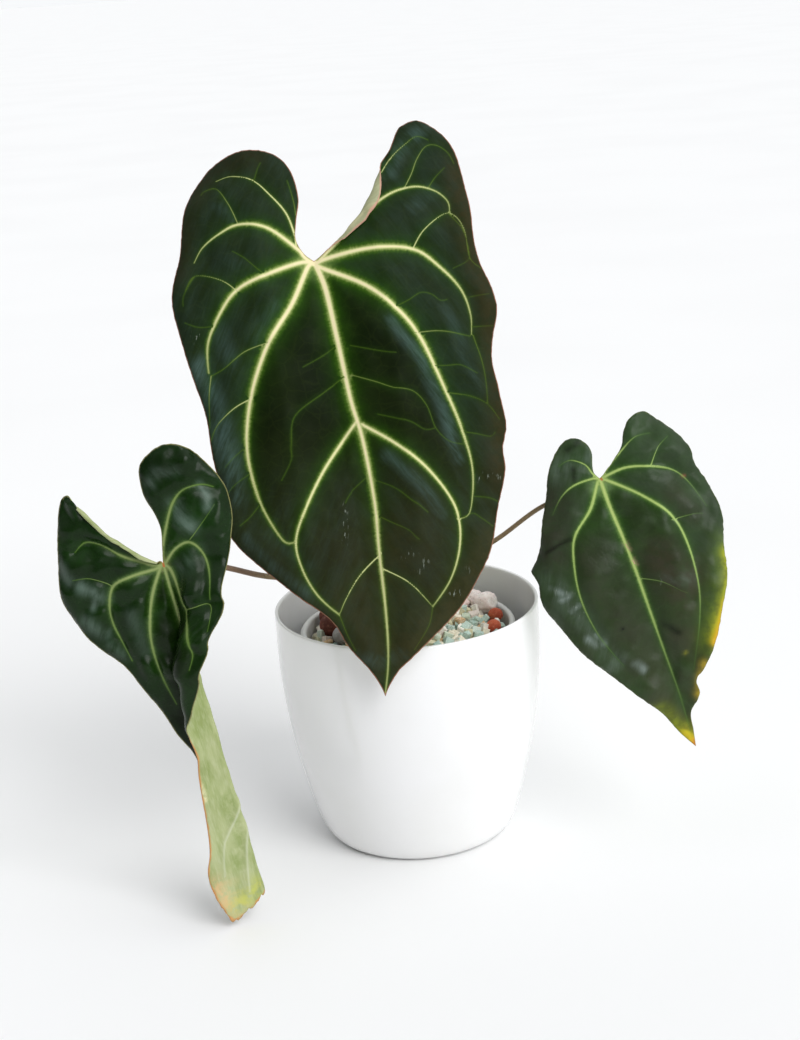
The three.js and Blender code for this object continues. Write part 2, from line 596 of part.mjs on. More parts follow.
// The flat blade as points and triangles: its edge, its veins, its curl and an even fill between.
function flatBlade(leaf) {
  const outline = leaf.edge.slice(0, -1);
  const points = outline.map(([x, y]) => ({ x, y, rib: 0 }));
  const clear = (x, y, room) => points.every((p) => Math.hypot(p.x - x, p.y - y) > room);
  leaf.veinLines.forEach((line, index) => line.forEach(([x, y]) => {
    const toEdge = nearestOn(leaf.edge, x, y).distance;
    const fits = inside(outline, x, y) && toEdge > VEIN_TO_EDGE && clear(x, y, VEIN_ROOM);
    if (fits) points.push({ x, y, rib: index === 0 ? 1 : SIDE_RIB });
  }));
  if (leaf.curl) {
    CURL_ROWS.forEach((turns) => spaced(leaf.curl.line, OUTLINE_STEP).forEach(([x, y]) => {
      const { normal } = nearestOn(leaf.curl.line, x, y);
      const off = turns * leaf.curl.radius * Math.sign(leaf.curl.line[1][0]);
      const [px, py] = [x + normal[0] * off, y + normal[1] * off];
      const toEdge = nearestOn(leaf.edge, px, py).distance;
      if (inside(outline, px, py) && toEdge > CREASE_ROOM * 0.7 && clear(px, py, CREASE_ROOM)) {
        points.push({ x: px, y: py, rib: 0 });
      }
    }));
  }
  (leaf.creases ?? []).forEach(([x, top, bottom]) => {
    for (let y = top; y > bottom; y -= OUTLINE_STEP) {
      const toEdge = nearestOn(leaf.edge, x, y).distance;
      if (inside(outline, x, y) && toEdge > CREASE_ROOM && clear(x, y, CREASE_ROOM)) {
        points.push({ x, y, rib: 0 });
      }
    }
  });
  const rowStep = leaf.cell * 0.866;
  for (let row = -GRID_REACH; row < GRID_REACH; row += 1) {
    for (let column = -GRID_REACH; column < GRID_REACH; column += 1) {
      const x = (column + (row % 2 === 0 ? 0 : 0.5)) * leaf.cell;
      const y = row * rowStep;
      const toEdge = nearestOn(leaf.edge, x, y).distance;
      if (inside(outline, x, y) && toEdge > leaf.cell * 0.45 && clear(x, y, leaf.cell * 0.55)) {
        points.push({ x, y, rib: 0 });
      }
    }
  }
  const flat = points.map(({ x, y }) => [x + 1e-4 * Math.sin(7 * y), y + 1e-4 * Math.cos(5 * x)]);
  const triangles = delaunay(flat).filter((triangle) => {
    const x = triangle.reduce((sum, k) => sum + flat[k][0], 0) / 3;
    const y = triangle.reduce((sum, k) => sum + flat[k][1], 0) / 3;
    return inside(outline, x, y);
  });
  return { points, triangles: triangles.map((t) => counterClockwise(flat, t)) };
}

function counterClockwise(flat, [a, b, c]) {
  const [ux, uy] = [flat[b][0] - flat[a][0], flat[b][1] - flat[a][1]];
  const [vx, vy] = [flat[c][0] - flat[a][0], flat[c][1] - flat[a][1]];
  return ux * vy - uy * vx > 0 ? [a, b, c] : [a, c, b];
}

// A blade of even thickness with ribs raised under its veins, split alike on both faces.
function leafNode(name) {
  const leaf = LEAVES[name];
  const { points, triangles } = flatBlade(leaf);
  const upper = [];
  const lower = [];
  points.forEach(({ x, y, rib }) => {
    const middle = bladePoint(leaf, x, y);
    const normal = bladeNormal(leaf, x, y);
    upper.push(middle.clone().addScaledVector(normal, BLADE_THICKNESS / 2));
    lower.push(middle.clone().addScaledVector(normal, -BLADE_THICKNESS / 2 - rib * RIB_HEIGHT));
  });
  const count = points.length;
  const faces = [];
  const open = new Map();
  triangles.forEach(([a, b, c]) => {
    faces.push([a, b, c], [a + count, c + count, b + count]);
    [[a, b], [b, c], [c, a]].forEach(([p, q]) => {
      if (!open.delete(`${q},${p}`)) open.set(`${p},${q}`, [p, q]);
    });
  });
  open.forEach(([p, q]) => faces.push([q, p, p + count], [q, p + count, q + count]));
  const geometry = new THREE.BufferGeometry();
  geometry.setFromPoints([...upper, ...lower]);
  geometry.setIndex(faces.flat());
  geometry.computeVertexNormals();
  const mesh = named(`leaf_${name}`, geometry, ...COLOURS[name]);
  const { junction, up, out, across } = leafAxes(leaf);
  mesh.position.copy(junction);
  mesh.quaternion.setFromRotationMatrix(new THREE.Matrix4().makeBasis(across, up, out));
  return mesh;
}

const plant = new THREE.Group();
plant.name = 'plant';
Object.values(LEAVES).forEach(trace);
plant.add(crown());
Object.keys(LEAVES).forEach((name) => plant.add(stalkNode(name), leafNode(name)));

const pottedPlant = new THREE.Group();
pottedPlant.add(outerPot(), innerPot(), substrate(), ...stones(), plant);

export default pottedPlant;
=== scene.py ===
# A potted aroid with three heart-shaped leaves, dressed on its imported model. Metres, +Z up.
import math

import bmesh
import bpy
import numpy as np
from mathutils import Matrix, Vector
from mathutils.geometry import delaunay_2d_cdt


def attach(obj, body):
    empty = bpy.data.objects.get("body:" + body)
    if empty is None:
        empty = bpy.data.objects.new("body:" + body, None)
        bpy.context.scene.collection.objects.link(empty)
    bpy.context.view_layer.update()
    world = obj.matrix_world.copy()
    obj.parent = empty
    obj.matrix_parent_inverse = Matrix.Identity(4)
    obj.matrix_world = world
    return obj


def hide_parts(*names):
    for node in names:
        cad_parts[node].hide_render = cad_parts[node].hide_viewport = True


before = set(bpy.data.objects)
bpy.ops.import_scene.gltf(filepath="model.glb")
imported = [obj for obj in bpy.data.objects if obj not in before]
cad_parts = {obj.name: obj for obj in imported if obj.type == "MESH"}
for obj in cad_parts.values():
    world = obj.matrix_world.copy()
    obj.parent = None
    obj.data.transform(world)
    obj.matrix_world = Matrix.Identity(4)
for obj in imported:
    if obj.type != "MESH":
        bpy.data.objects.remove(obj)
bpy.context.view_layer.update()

# Sizes below are in millimetres and angles in degrees, unless they say something else.
MM = 0.001

# The camera's place and lens, worked out from the pot's rim, foot and outline.
CAMERA_AIM = (-0.6, 0, 197.5)
CAMERA_DISTANCE = 1054
CAMERA_ELEVATION = 17.0
CAMERA_ROLL = -3.68
CAMERA_LENS = 60.9
SENSOR_HEIGHT = 36
FAR_CLIP = 2000

# Soft daylight: an even level, brighter areas by direction, start, full and strength, a pale band
# along the horizon, and a soft sun. The floor is given by its width in metres.
SKY_LEVEL = 0.07
SKY_COLOUR = (0.97, 0.985, 1.0, 1.0)
SKY_AREAS = [((0.93, -0.25, 0.27), 0.2, 0.9, 0.8), ((-0.1, 0.45, 0.89), 0.1, 0.9, 0.74)]
HORIZON_BAND = (0.06, 0.03)
HORIZON_LEVEL = 0.97
FLOOR_SIZE = 900
SUN_FROM = (0.6, -0.8, 0.9)
SUN_STRENGTH = 1.65
SUN_WIDTH = 36

# Pots, as in the model: outer radius at each height, walls, and the liner's sizes.
POT_OUTLINE = [(53, 0), (57, 2), (60.5, 8), (64.5, 20), (69.5, 40), (75.5, 70), (79.5, 108), (80, 146)]
POT_WALL = 2.2
POT_FLOOR = 3
POT_SIDES = 160
LINER_FOOT_RADIUS = 46
LINER_TOP_RADIUS = 63
LINER_BASE = 3.3
LINER_TOP = 131.3
LINER_WALL = 1.4
LINER_RIM_RADIUS = 65.6
LINER_RIM_DEPTH = 7
LINER_SIDES = 120
DRAIN_COUNT = 6
DRAIN_RADIUS = 4
DRAIN_CIRCLE = 30
DRILL_LENGTH = 8

# Mineral mix: its surface, its seed and its chips. A pass of chips is given by its rise in
# millimetres, then the chips' spacing and their smallest and largest half size in metres.
MIX_SIDES = 72
MIX_FOOT = 5.2
MIX_RADIUS = 60.3
MIX_EDGE_HEIGHT = 124
MIX_MOUND = 8
MIX_LEAN = 0.13
MIX_SEED = 11
CHIP_SHAPES = 9
CHIP_DENSITY = 105000.0
CHIP_RISE = 0.0015
CHIP_PASSES = [(-1.2, 0.0046, 0.0038, 0.005), (0.4, 0.006, 0.0042, 0.0058), (1.8, 0.0095, 0.0034, 0.0052)]
CHIP_TONES = [
    "#a8c4ba", "#c8d6cc", "#a2bfb5", "#bfc09c", "#dcd4b0", "#ece7dc", "#c49c6e", "#e9e4da",
    "#b2cbc0", "#e0d0c8", "#a6c0b6", "#cfc8a2", "#c2d0ba", "#e4dcc6", "#b0c8be", "#c8a376",
]

# Chips keep this far from the crown's axis, and this many half sizes from a stone's centre.
CROWN_ROOM = 9
STONE_ROOM = 1.1

# Loose stones on the mix, as in the model: centre and half sizes.
STONES = {
    "clay_ball_1": ((-47.5, 22.5, 131.2), (7.2, 7.2, 7)),
    "clay_ball_2": ((-46, 6.5, 131.2), (8, 8, 7.4)),
    "clay_ball_3": ((54, 3, 132.3), (4.6, 4.4, 4.2)),
    "clay_ball_4": ((51.5, -15, 131.6), (4.6, 4.6, 4.2)),
    "pebble": ((-39.5, -9, 129.8), (6.6, 7, 5.6)),
    "pumice_lump_1": ((48, 17.5, 135.2), (8.4, 7.4, 6.8)),
    "pumice_lump_2": ((32.5, 16.5, 136), (6.4, 6.2, 5.4)),
    "pumice_lump_3": ((42, 34, 133.2), (6, 6, 5)),
}

# Crown and stalks, as in the model, with the crown's dry sheaths and roots. A stalk starts on the
# crown, goes by way of some points and ends under its leaf. Its knee is at this part of its length.
CROWN_AT = (0, 6)
CROWN_SIDES = 48
CROWN_RINGS = 4
SHEATH_COUNT = 7
ROOT_COUNT = 6
ROOT_POINTS = 24
STALK_POINTS = 90
KNEE_AT = 0.975
STALK_ROOT_HEIGHT = 139
STALK_SPREAD = 1.05
STALK_BEND = 9
STALKS = {
    "center": {"start": (-3, 9), "via": [(-6, 17, 205), (-15, 19, 275), (-29, 7, 338)], "radius": 2},
    "left": {"start": (-4, 2), "via": [(-31, -8, 164), (-79, -38, 180), (-108, -64, 197)], "radius": 1.8},
    "right": {"start": (4, 3), "via": [(28, 2, 164), (57, -8, 184.5), (87, -23, 209)], "radius": 1.5},
}

# Blades, as in the model: thickness, the rib's height below it and the gap to the stalk's head.
BLADE_THICKNESS = 0.8
RIB_HEIGHT = 1.1
GAP = 0.3

# The radius that a half bends with at the rib, and the one where it turns back.
FOLD_RADIUS = 2.4
TURN_BACK_RADIUS = 6

# Waves fade out this near to the rib and swellings this near to the margin, and the two halves'
# waves are out of step by the phase in radians. Fine relief fades this near to margin and vein.
CALM_AT_RIB = 20
FLAT_AT_EDGE = 8
OTHER_HALF_PHASE = 1.9
CALM_AT_EDGE = 4
CALM_AT_VEIN = 3

# Half the blade's thickness at its very edge, and how far in it is full and the ribs are as well.
EDGE_HALF = 0.18
FULL_AT = 2.5
RIB_FULL_AT = 3

# The flat blade in its UV square: the square's side, and where in it the stalk's end lies.
UV_SIZE = 400
UV_AT = (0.5, 0.7)

# How near the mesh's points come to each other: in a vein's middle, at its sides and just beside
# it, and between the veins, where the room and the margin's are in parts of a cell.
VEIN_ROOM = 0.3
SIDE_ROOM = 0.35
BESIDE_ROOM = 0.6
BESIDE_VEIN = 0.9
BESIDE_STEP = 1.2
ROLL_ROOM = 0.5
CELL_ROOM = 0.62
MARGIN_ROOM = 0.4

# A distance past any on a leaf, and the shift that keeps two veins' spurs from matching.
FAR = 99.0
SPUR_SHIFT = 61

# Each leaf has x across, y towards its lobes and z out of its upper face, from the stalk's end.
# Margins run from the notch round a lobe to the tip. Veins and twigs give their width at both ends.
# A half is folded by stations: y, turn at the rib, reach, turn back past the reach, in mm and degrees.
LEAVES = {
    "center": {
        "junction": (-40, -10, 358),
        "tip": (-15, -97, 125),
        "facing": (0, -1, 0.3),
        "left": [(0, -1), (-5, 4), (-8, 13), (-6, 24), (-3, 37), (-5, 54), (-12, 65), (-24, 70),
            (-40, 69), (-55, 61), (-67, 42), (-76, 12), (-82, -10), (-82, -30), (-77, -57), (-74, -85),
            (-73, -115), (-74, -136), (-68, -153), (-57, -168), (-40, -186), (-23, -203), (-16, -219),
            (-7, -233), (-2, -243), (0, -250)],
        "right": [(0, -1), (4, 1), (9, 5.2), (17, 13.5), (24.3, 24.5), (31, 33.5), (36.5, 41.5), (44.5, 48.5),
            (50.5, 54.5), (54, 60.5), (58, 67.5), (62, 71), (71, 73), (80, 66), (87, 54), (91, 37),
            (92, 18), (91, 0), (93, -16), (96, -30), (97, -46),
            (93, -61), (90, -76), (91, -93), (93, -110), (88, -124), (87, -136), (82, -152), (73, -175),
            (64, -190), (48, -209), (20, -230), (10, -237), (3, -245), (0, -250)],
        "curl": {"radius": 2.2, "turn": 165, "start": 0.1, "fade": 0.35,
            "line": [(4, -1), (11, 2), (21.5, 8), (32, 18), (39, 28), (43, 37), (48.5, 46), (52, 54)]},
        "veins": [
            (4.0, 0.9, [(0, -1), (4, -18), (6, -48), (8, -83), (11, -106), (12, -141), (10, -169),
                (8, -203), (5, -230), (0, -249)]),
            (3.6, 1.0, [(-4, -4), (-16, -24), (-32, -44), (-45, -68), (-52, -90), (-54, -111),
                (-51, -133), (-42, -155), (-35, -157)]),
            (3.4, 1.0, [(-7, -1), (-26, -5), (-45, -11), (-57, -23), (-66, -38), (-68, -55)]),
            (3.1, 0.6, [(-8, 7), (-22, 21), (-38, 26), (-50, 23), (-61, 17), (-67, 9)]),
            (1.5, 0.5, [(-8, 14), (-11, 28), (-19, 41), (-27, 51), (-39, 56), (-48, 55)]),
            (3.4, 0.7, [(4, -6), (26, -20), (41, -36), (52, -55), (61, -86), (67, -110), (69, -133),
                (64, -156), (56, -159)]),
            (3.4, 0.7, [(8, -1), (32, 0), (56, -4), (70, -17), (79, -31), (82, -46), (81, -57)]),
            (2.4, 0.8, [(32, 19), (41, 26), (52, 31), (64, 32), (74, 28), (80, 21), (80, 14)]),
            (2.0, 1.0, [(9, -96), (-2, -107), (-15, -122), (-27, -140), (-35, -157), (-34, -173),
                (-28, -188), (-18, -201)]),
            (2.1, 0.9, [(12, -98), (28, -111), (43, -127), (54, -146), (57, -160), (54, -176),
                (46, -192), (34, -205)]),
            (0.9, 0.6, [(11, -171), (-3, -181), (-13, -193), (-18, -201)]),
            (0.9, 0.6, [(11, -180), (24, -190), (34, -205)]),
        ],
        "twigs": [
            (0.9, 0.5, [(-39, 27), (-42, 39), (-48, 50), (-55, 50), (-57, 48)]),
            (1.0, 0.4, [(-45, -12), (-53, -4), (-67, 1), (-73, -6)]),
            (0.9, 0.6, [(-33, -44), (-46, -47), (-58, -54), (-67, -57)]),
            (1.1, 0.6, [(-46, -73), (-57, -77), (-68, -85), (-73, -93)]),
            (0.9, 0.5, [(-67, -57), (-71, -73), (-73, -86)]),
            (1.1, 0.6, [(56, -4), (64, 6), (79, 14), (86, 4), (87, -13), (93, -20)]),
            (0.7, 0.4, [(82, -58), (84, -76), (83, -98)]),
            (0.9, 0.6, [(50, -52), (63, -53), (80, -58)]),
            (0.7, 0.4, [(62, -88), (74, -92), (83, -98), (89, -107)]),
            (0.9, 0.5, [(57, 32), (62, 40), (66, 48), (72, 55), (78, 55), (84, 50), (87, 43)]),
            (1.1, 0.5, [(45, 43), (53, 52), (61, 58), (68, 62), (74, 59)]),
            (0.6, 0.4, [(-18, -201), (-15, -213), (-12, -222)]),
            (0.6, 0.4, [(34, -205), (30, -215), (20, -227)]),
            (0.8, 0.3, [(12, -70), (24, -76), (33, -81), (43, -85), (49, -94), (52, -107), (58, -115),
                (66, -118)]),
            (0.5, 0.3, [(13, -53), (28, -59), (37, -62)]),
            (0.4, 0.3, [(22, -94), (38, -101), (46, -107), (52, -107)]),
            (0.6, 0.3, [(58, -72), (65, -73), (72, -74), (80, -80)]),
            (0.6, 0.3, [(67, -111), (74, -113), (82, -116), (85, -114)]),
            (0.4, 0.3, [(68, -148), (76, -150), (83, -154)]),
            (0.5, 0.3, [(56, -160), (65, -157), (70, -161), (75, -166)]),
            (0.6, 0.3, [(14, -151), (20, -155), (29, -161), (33, -167)]),
            (0.4, 0.3, [(16, -131), (27, -138), (40, -153)]),
            (0.6, 0.3, [(7, -69), (2, -72), (-7, -77), (-25, -88), (-29, -104), (-30, -112),
                (-37, -122)]),
            (0.5, 0.3, [(4, -52), (-6, -57), (-16, -61)]),
            (0.5, 0.3, [(-52, -133), (-58, -139), (-64, -143)]),
            (0.5, 0.3, [(-55, -115), (-63, -119), (-69, -124)]),
            (0.5, 0.3, [(-53, -99), (-61, -104), (-67, -109)]),
            (0.4, 0.3, [(9, -128), (-1, -135), (-5, -140)]),
            (0.6, 0.3, [(-28, -6), (-33, 0), (-38, 6), (-44, 11)]),
            (0.5, 0.3, [(-26, 51), (-23, 58), (-21, 61)]),
            (0.8, 0.4, [(-6, 23), (-6, 33), (-7, 42), (-8, 48)]),
            (0.5, 0.3, [(-67, 1), (-71, -4), (-75, -10), (-76, -15)]),
            (0.5, 0.3, [(-61, -29), (-70, -28), (-77, -24)]),
            (0.7, 0.3, [(71, 31), (75, 36), (81, 41)]),
            (0.6, 0.3, [(79, 14), (85, 3), (87, -13), (77, -18)]),
            (0.4, 0.3, [(84, -36), (94, -36)]),
            (0.5, 0.3, [(82, -53), (95, -54)]),
            (0.6, 0.3, [(40, -36), (49, -33), (56, -30), (62, -32), (66, -36), (70, -36)]),
        ],
        "stretch": 1.02,
        "left_fold": [(70, 8, 30, 22), (0, 12, 30, 20), (-150, 12, 28, 22), (-250, 8, 10, 6)],
        "right_fold": [(70, 4, 40, 14), (0, 10, 36, 20), (-150, 14, 34, 26), (-250, 8, 10, 6)],
        "arch": [(72, -9), (20, -1), (-60, 3), (-160, 2), (-225, 0), (-250, 1)],
        "wave": {"height": 2.6, "length": 47, "reach": 13, "start": 0.6},
        "pucker": {"height": 2.6, "width": 10, "fade": [(0, 1), (-1, 1)]},
    },
    "right": {
        "junction": (115, -40, 227),
        "tip": (163, -72, 70),
        "facing": (0, -1, 0.3),
        "left": [(0, 0), (-2, 4), (-1, 9), (1, 15), (0, 21), (-5, 26), (-12, 26), (-20, 20), (-27, 11),
            (-33, -1), (-39, -13), (-45, -25), (-51, -33), (-56, -38), (-54, -46), (-56, -56),
            (-54, -68), (-46, -86), (-37, -103), (-23, -124), (-12, -141), (-6, -156), (0, -167)],
        "right": [(0, 0), (5, 3), (12, 8), (18, 13), (22, 20), (28, 26), (37, 27), (43, 21), (50, 11),
            (54, -1), (54, -10), (58, -22), (59, -36), (57, -53), (51, -72), (42, -90), (31, -109),
            (21, -121), (13, -128), (12, -137), (4, -146), (2, -157), (0, -167)],
        "veins": [
            (2.6, 0.6, [(0, 0), (0, -20), (1, -44), (1, -82), (1, -107), (1, -132), (0, -159)]),
            (1.9, 0.5, [(-2, -2), (-11, -15), (-24, -26), (-30, -39), (-34, -60), (-32, -82),
                (-24, -106)]),
            (1.6, 0.5, [(-3, 1), (-15, 1), (-24, -3), (-32, -11)]),
            (1.3, 0.4, [(-3, 4), (-5, 10), (-12, 15), (-19, 14)]),
            (1.9, 0.5, [(3, -2), (19, -17), (31, -34), (34, -54), (32, -75), (26, -95), (14, -121)]),
            (1.7, 0.5, [(3, 0), (16, 1), (29, -3), (41, -10), (48, -21), (52, -36)]),
            (1.5, 0.5, [(6, 4), (18, 11), (27, 15), (36, 14)]),
        ],
        "twigs": [
            (0.8, 0.4, [(30, -2), (36, 5), (45, 9)]),
            (0.7, 0.4, [(0, -61), (13, -67), (24, -78)]),
            (0.7, 0.4, [(30, -36), (42, -37), (48, -39)]),
        ],
        "stretch": 1.015,
        "left_fold": [(28, -12, 12, -10), (0, -6, 20, 12), (-60, 6, 26, 26), (-167, 10, 8, 6)],
        "right_fold": [(28, 6, 24, 22), (0, 12, 26, 24), (-60, 14, 24, 26), (-120, 24, 12, 6),
            (-167, 26, 6, 4)],
        "arch": [(30, -7), (0, 0), (-60, 4), (-120, 3), (-167, -2)],
        "wave": {"height": 2.2, "length": 38, "reach": 10, "start": 2.1},
        "pucker": {"height": 2.4, "width": 8, "fade": [(0, 1), (-1, 1)]},
    },
    "left": {
        "junction": (-131.5, -92, 210),
        "tip": (-94, -107, 18),
        "facing": (0, -1, 0.3),
        "left": [(0, 0), (-3.5, 5.5), (-7.7, 10.5), (-15.5, 18.6), (-22.8, 28.9), (-29.2, 39),
            (-33.5, 45), (-38, 48.3), (-42, 48.6), (-45.5, 46), (-48.5, 40), (-51, 31), (-56, 15),
            (-59, 2), (-59, -11), (-54, -26), (-47, -37), (-37, -51), (-30, -66),
            (-24, -83), (-19, -97), (-14, -110), (-12, -126), (-12, -150), (-14, -168), (-16, -182),
            (-13, -193), (-7, -196), (0, -196)],
        "right": [(0, 0), (2, 8), (4, 18), (3, 27), (0, 37), (0, 46), (2, 54), (8, 59), (16, 62),
            (24, 61), (32, 55), (38, 46), (43, 36), (45, 27), (44, 15), (40, 4), (36, -8), (35, -20),
            (37, -32), (38, -46), (36, -60), (32, -76), (26, -92), (21, -104), (20, -112), (22, -122),
            (24, -134), (25.5, -150), (29, -164), (33, -175), (33.5, -187), (31, -199), (27, -208),
            (18, -206), (8, -201), (0, -196)],
        "curl": {"radius": 2, "turn": 165, "start": 0.01, "fade": 0.16,
            "line": [(-4, -1), (-12, 6), (-20, 15), (-28, 26), (-35, 37), (-43, 51)]},
        "veins": [
            (1.8, 0.8, [(0, -1), (0, -40), (0, -90), (0, -140), (0, -194)]),
            (1.9, 0.6, [(-2, -2), (-11, -16), (-17, -32), (-19, -47), (-18, -62), (-15, -79)]),
            (1.9, 0.6, [(-4, -2), (-20, -2), (-30, -5), (-35, -15), (-36, -25), (-34, -36), (-32, -48)]),
            (1.7, 0.5, [(-11, 4), (-20, 10), (-30, 19), (-38, 22), (-45, 18)]),
            (1.8, 0.6, [(2, 7), (7, 18), (14, 30), (22, 36), (32, 36), (38, 33)]),
            (1.6, 0.5, [(2, 0), (9, 6), (17, 8), (22, 3), (25, -7), (28, -17), (28.5, -23)]),
            (1.8, 0.6, [(3, -4), (6, -15), (11, -27), (21, -36.5), (27, -43), (29, -48), (29.5, -56)]),
        ],
        "twigs": [
            (0.8, 0.4, [(-30, -5), (-34, -1), (-41, 3), (-50, 4)]),
            (0.7, 0.3, [(17, 8), (24, 14), (29, 18), (36, 24)]),
            (0.8, 0.4, [(11, -27), (20, -25), (27.5, -25.5), (30.5, -32), (34.5, -38.5)]),
            (1.2, 0.6, [(0, -138), (8, -150), (15.5, -158), (20.5, -165), (24.5, -181)]),
            (1.2, 0.6, [(0, -150), (7.5, -169), (13.5, -195)]),
        ],
        "stretch": 1,
        "left_fold": [(60, 6, 22, 14), (0, 14, 20, 22), (-50, 20, 14, 26), (-90, 4, 10, 10),
            (-195, -14, 10, 4)],
        "right_fold": [(60, 4, 26, 20), (0, 10, 18, 16), (-24, 60, 14, 52), (-46, 112, 16, 104),
            (-62, 128, 17, 112), (-80, 142, 17, 110), (-92, 150, 17, 80), (-106, 158, 18, 20),
            (-125, 160, 20, 0), (-195, 156, 26, 0)],
        "arch": [(60, -6), (0, 0), (-60, 1), (-120, 2), (-195, 0)],
        "wave": {"height": 1.2, "length": 31, "reach": 8, "start": 0.4},
        "pucker": {"height": 2.8, "width": 7, "fade": [(-50, 1), (-88, 0.2)]},
    },
}

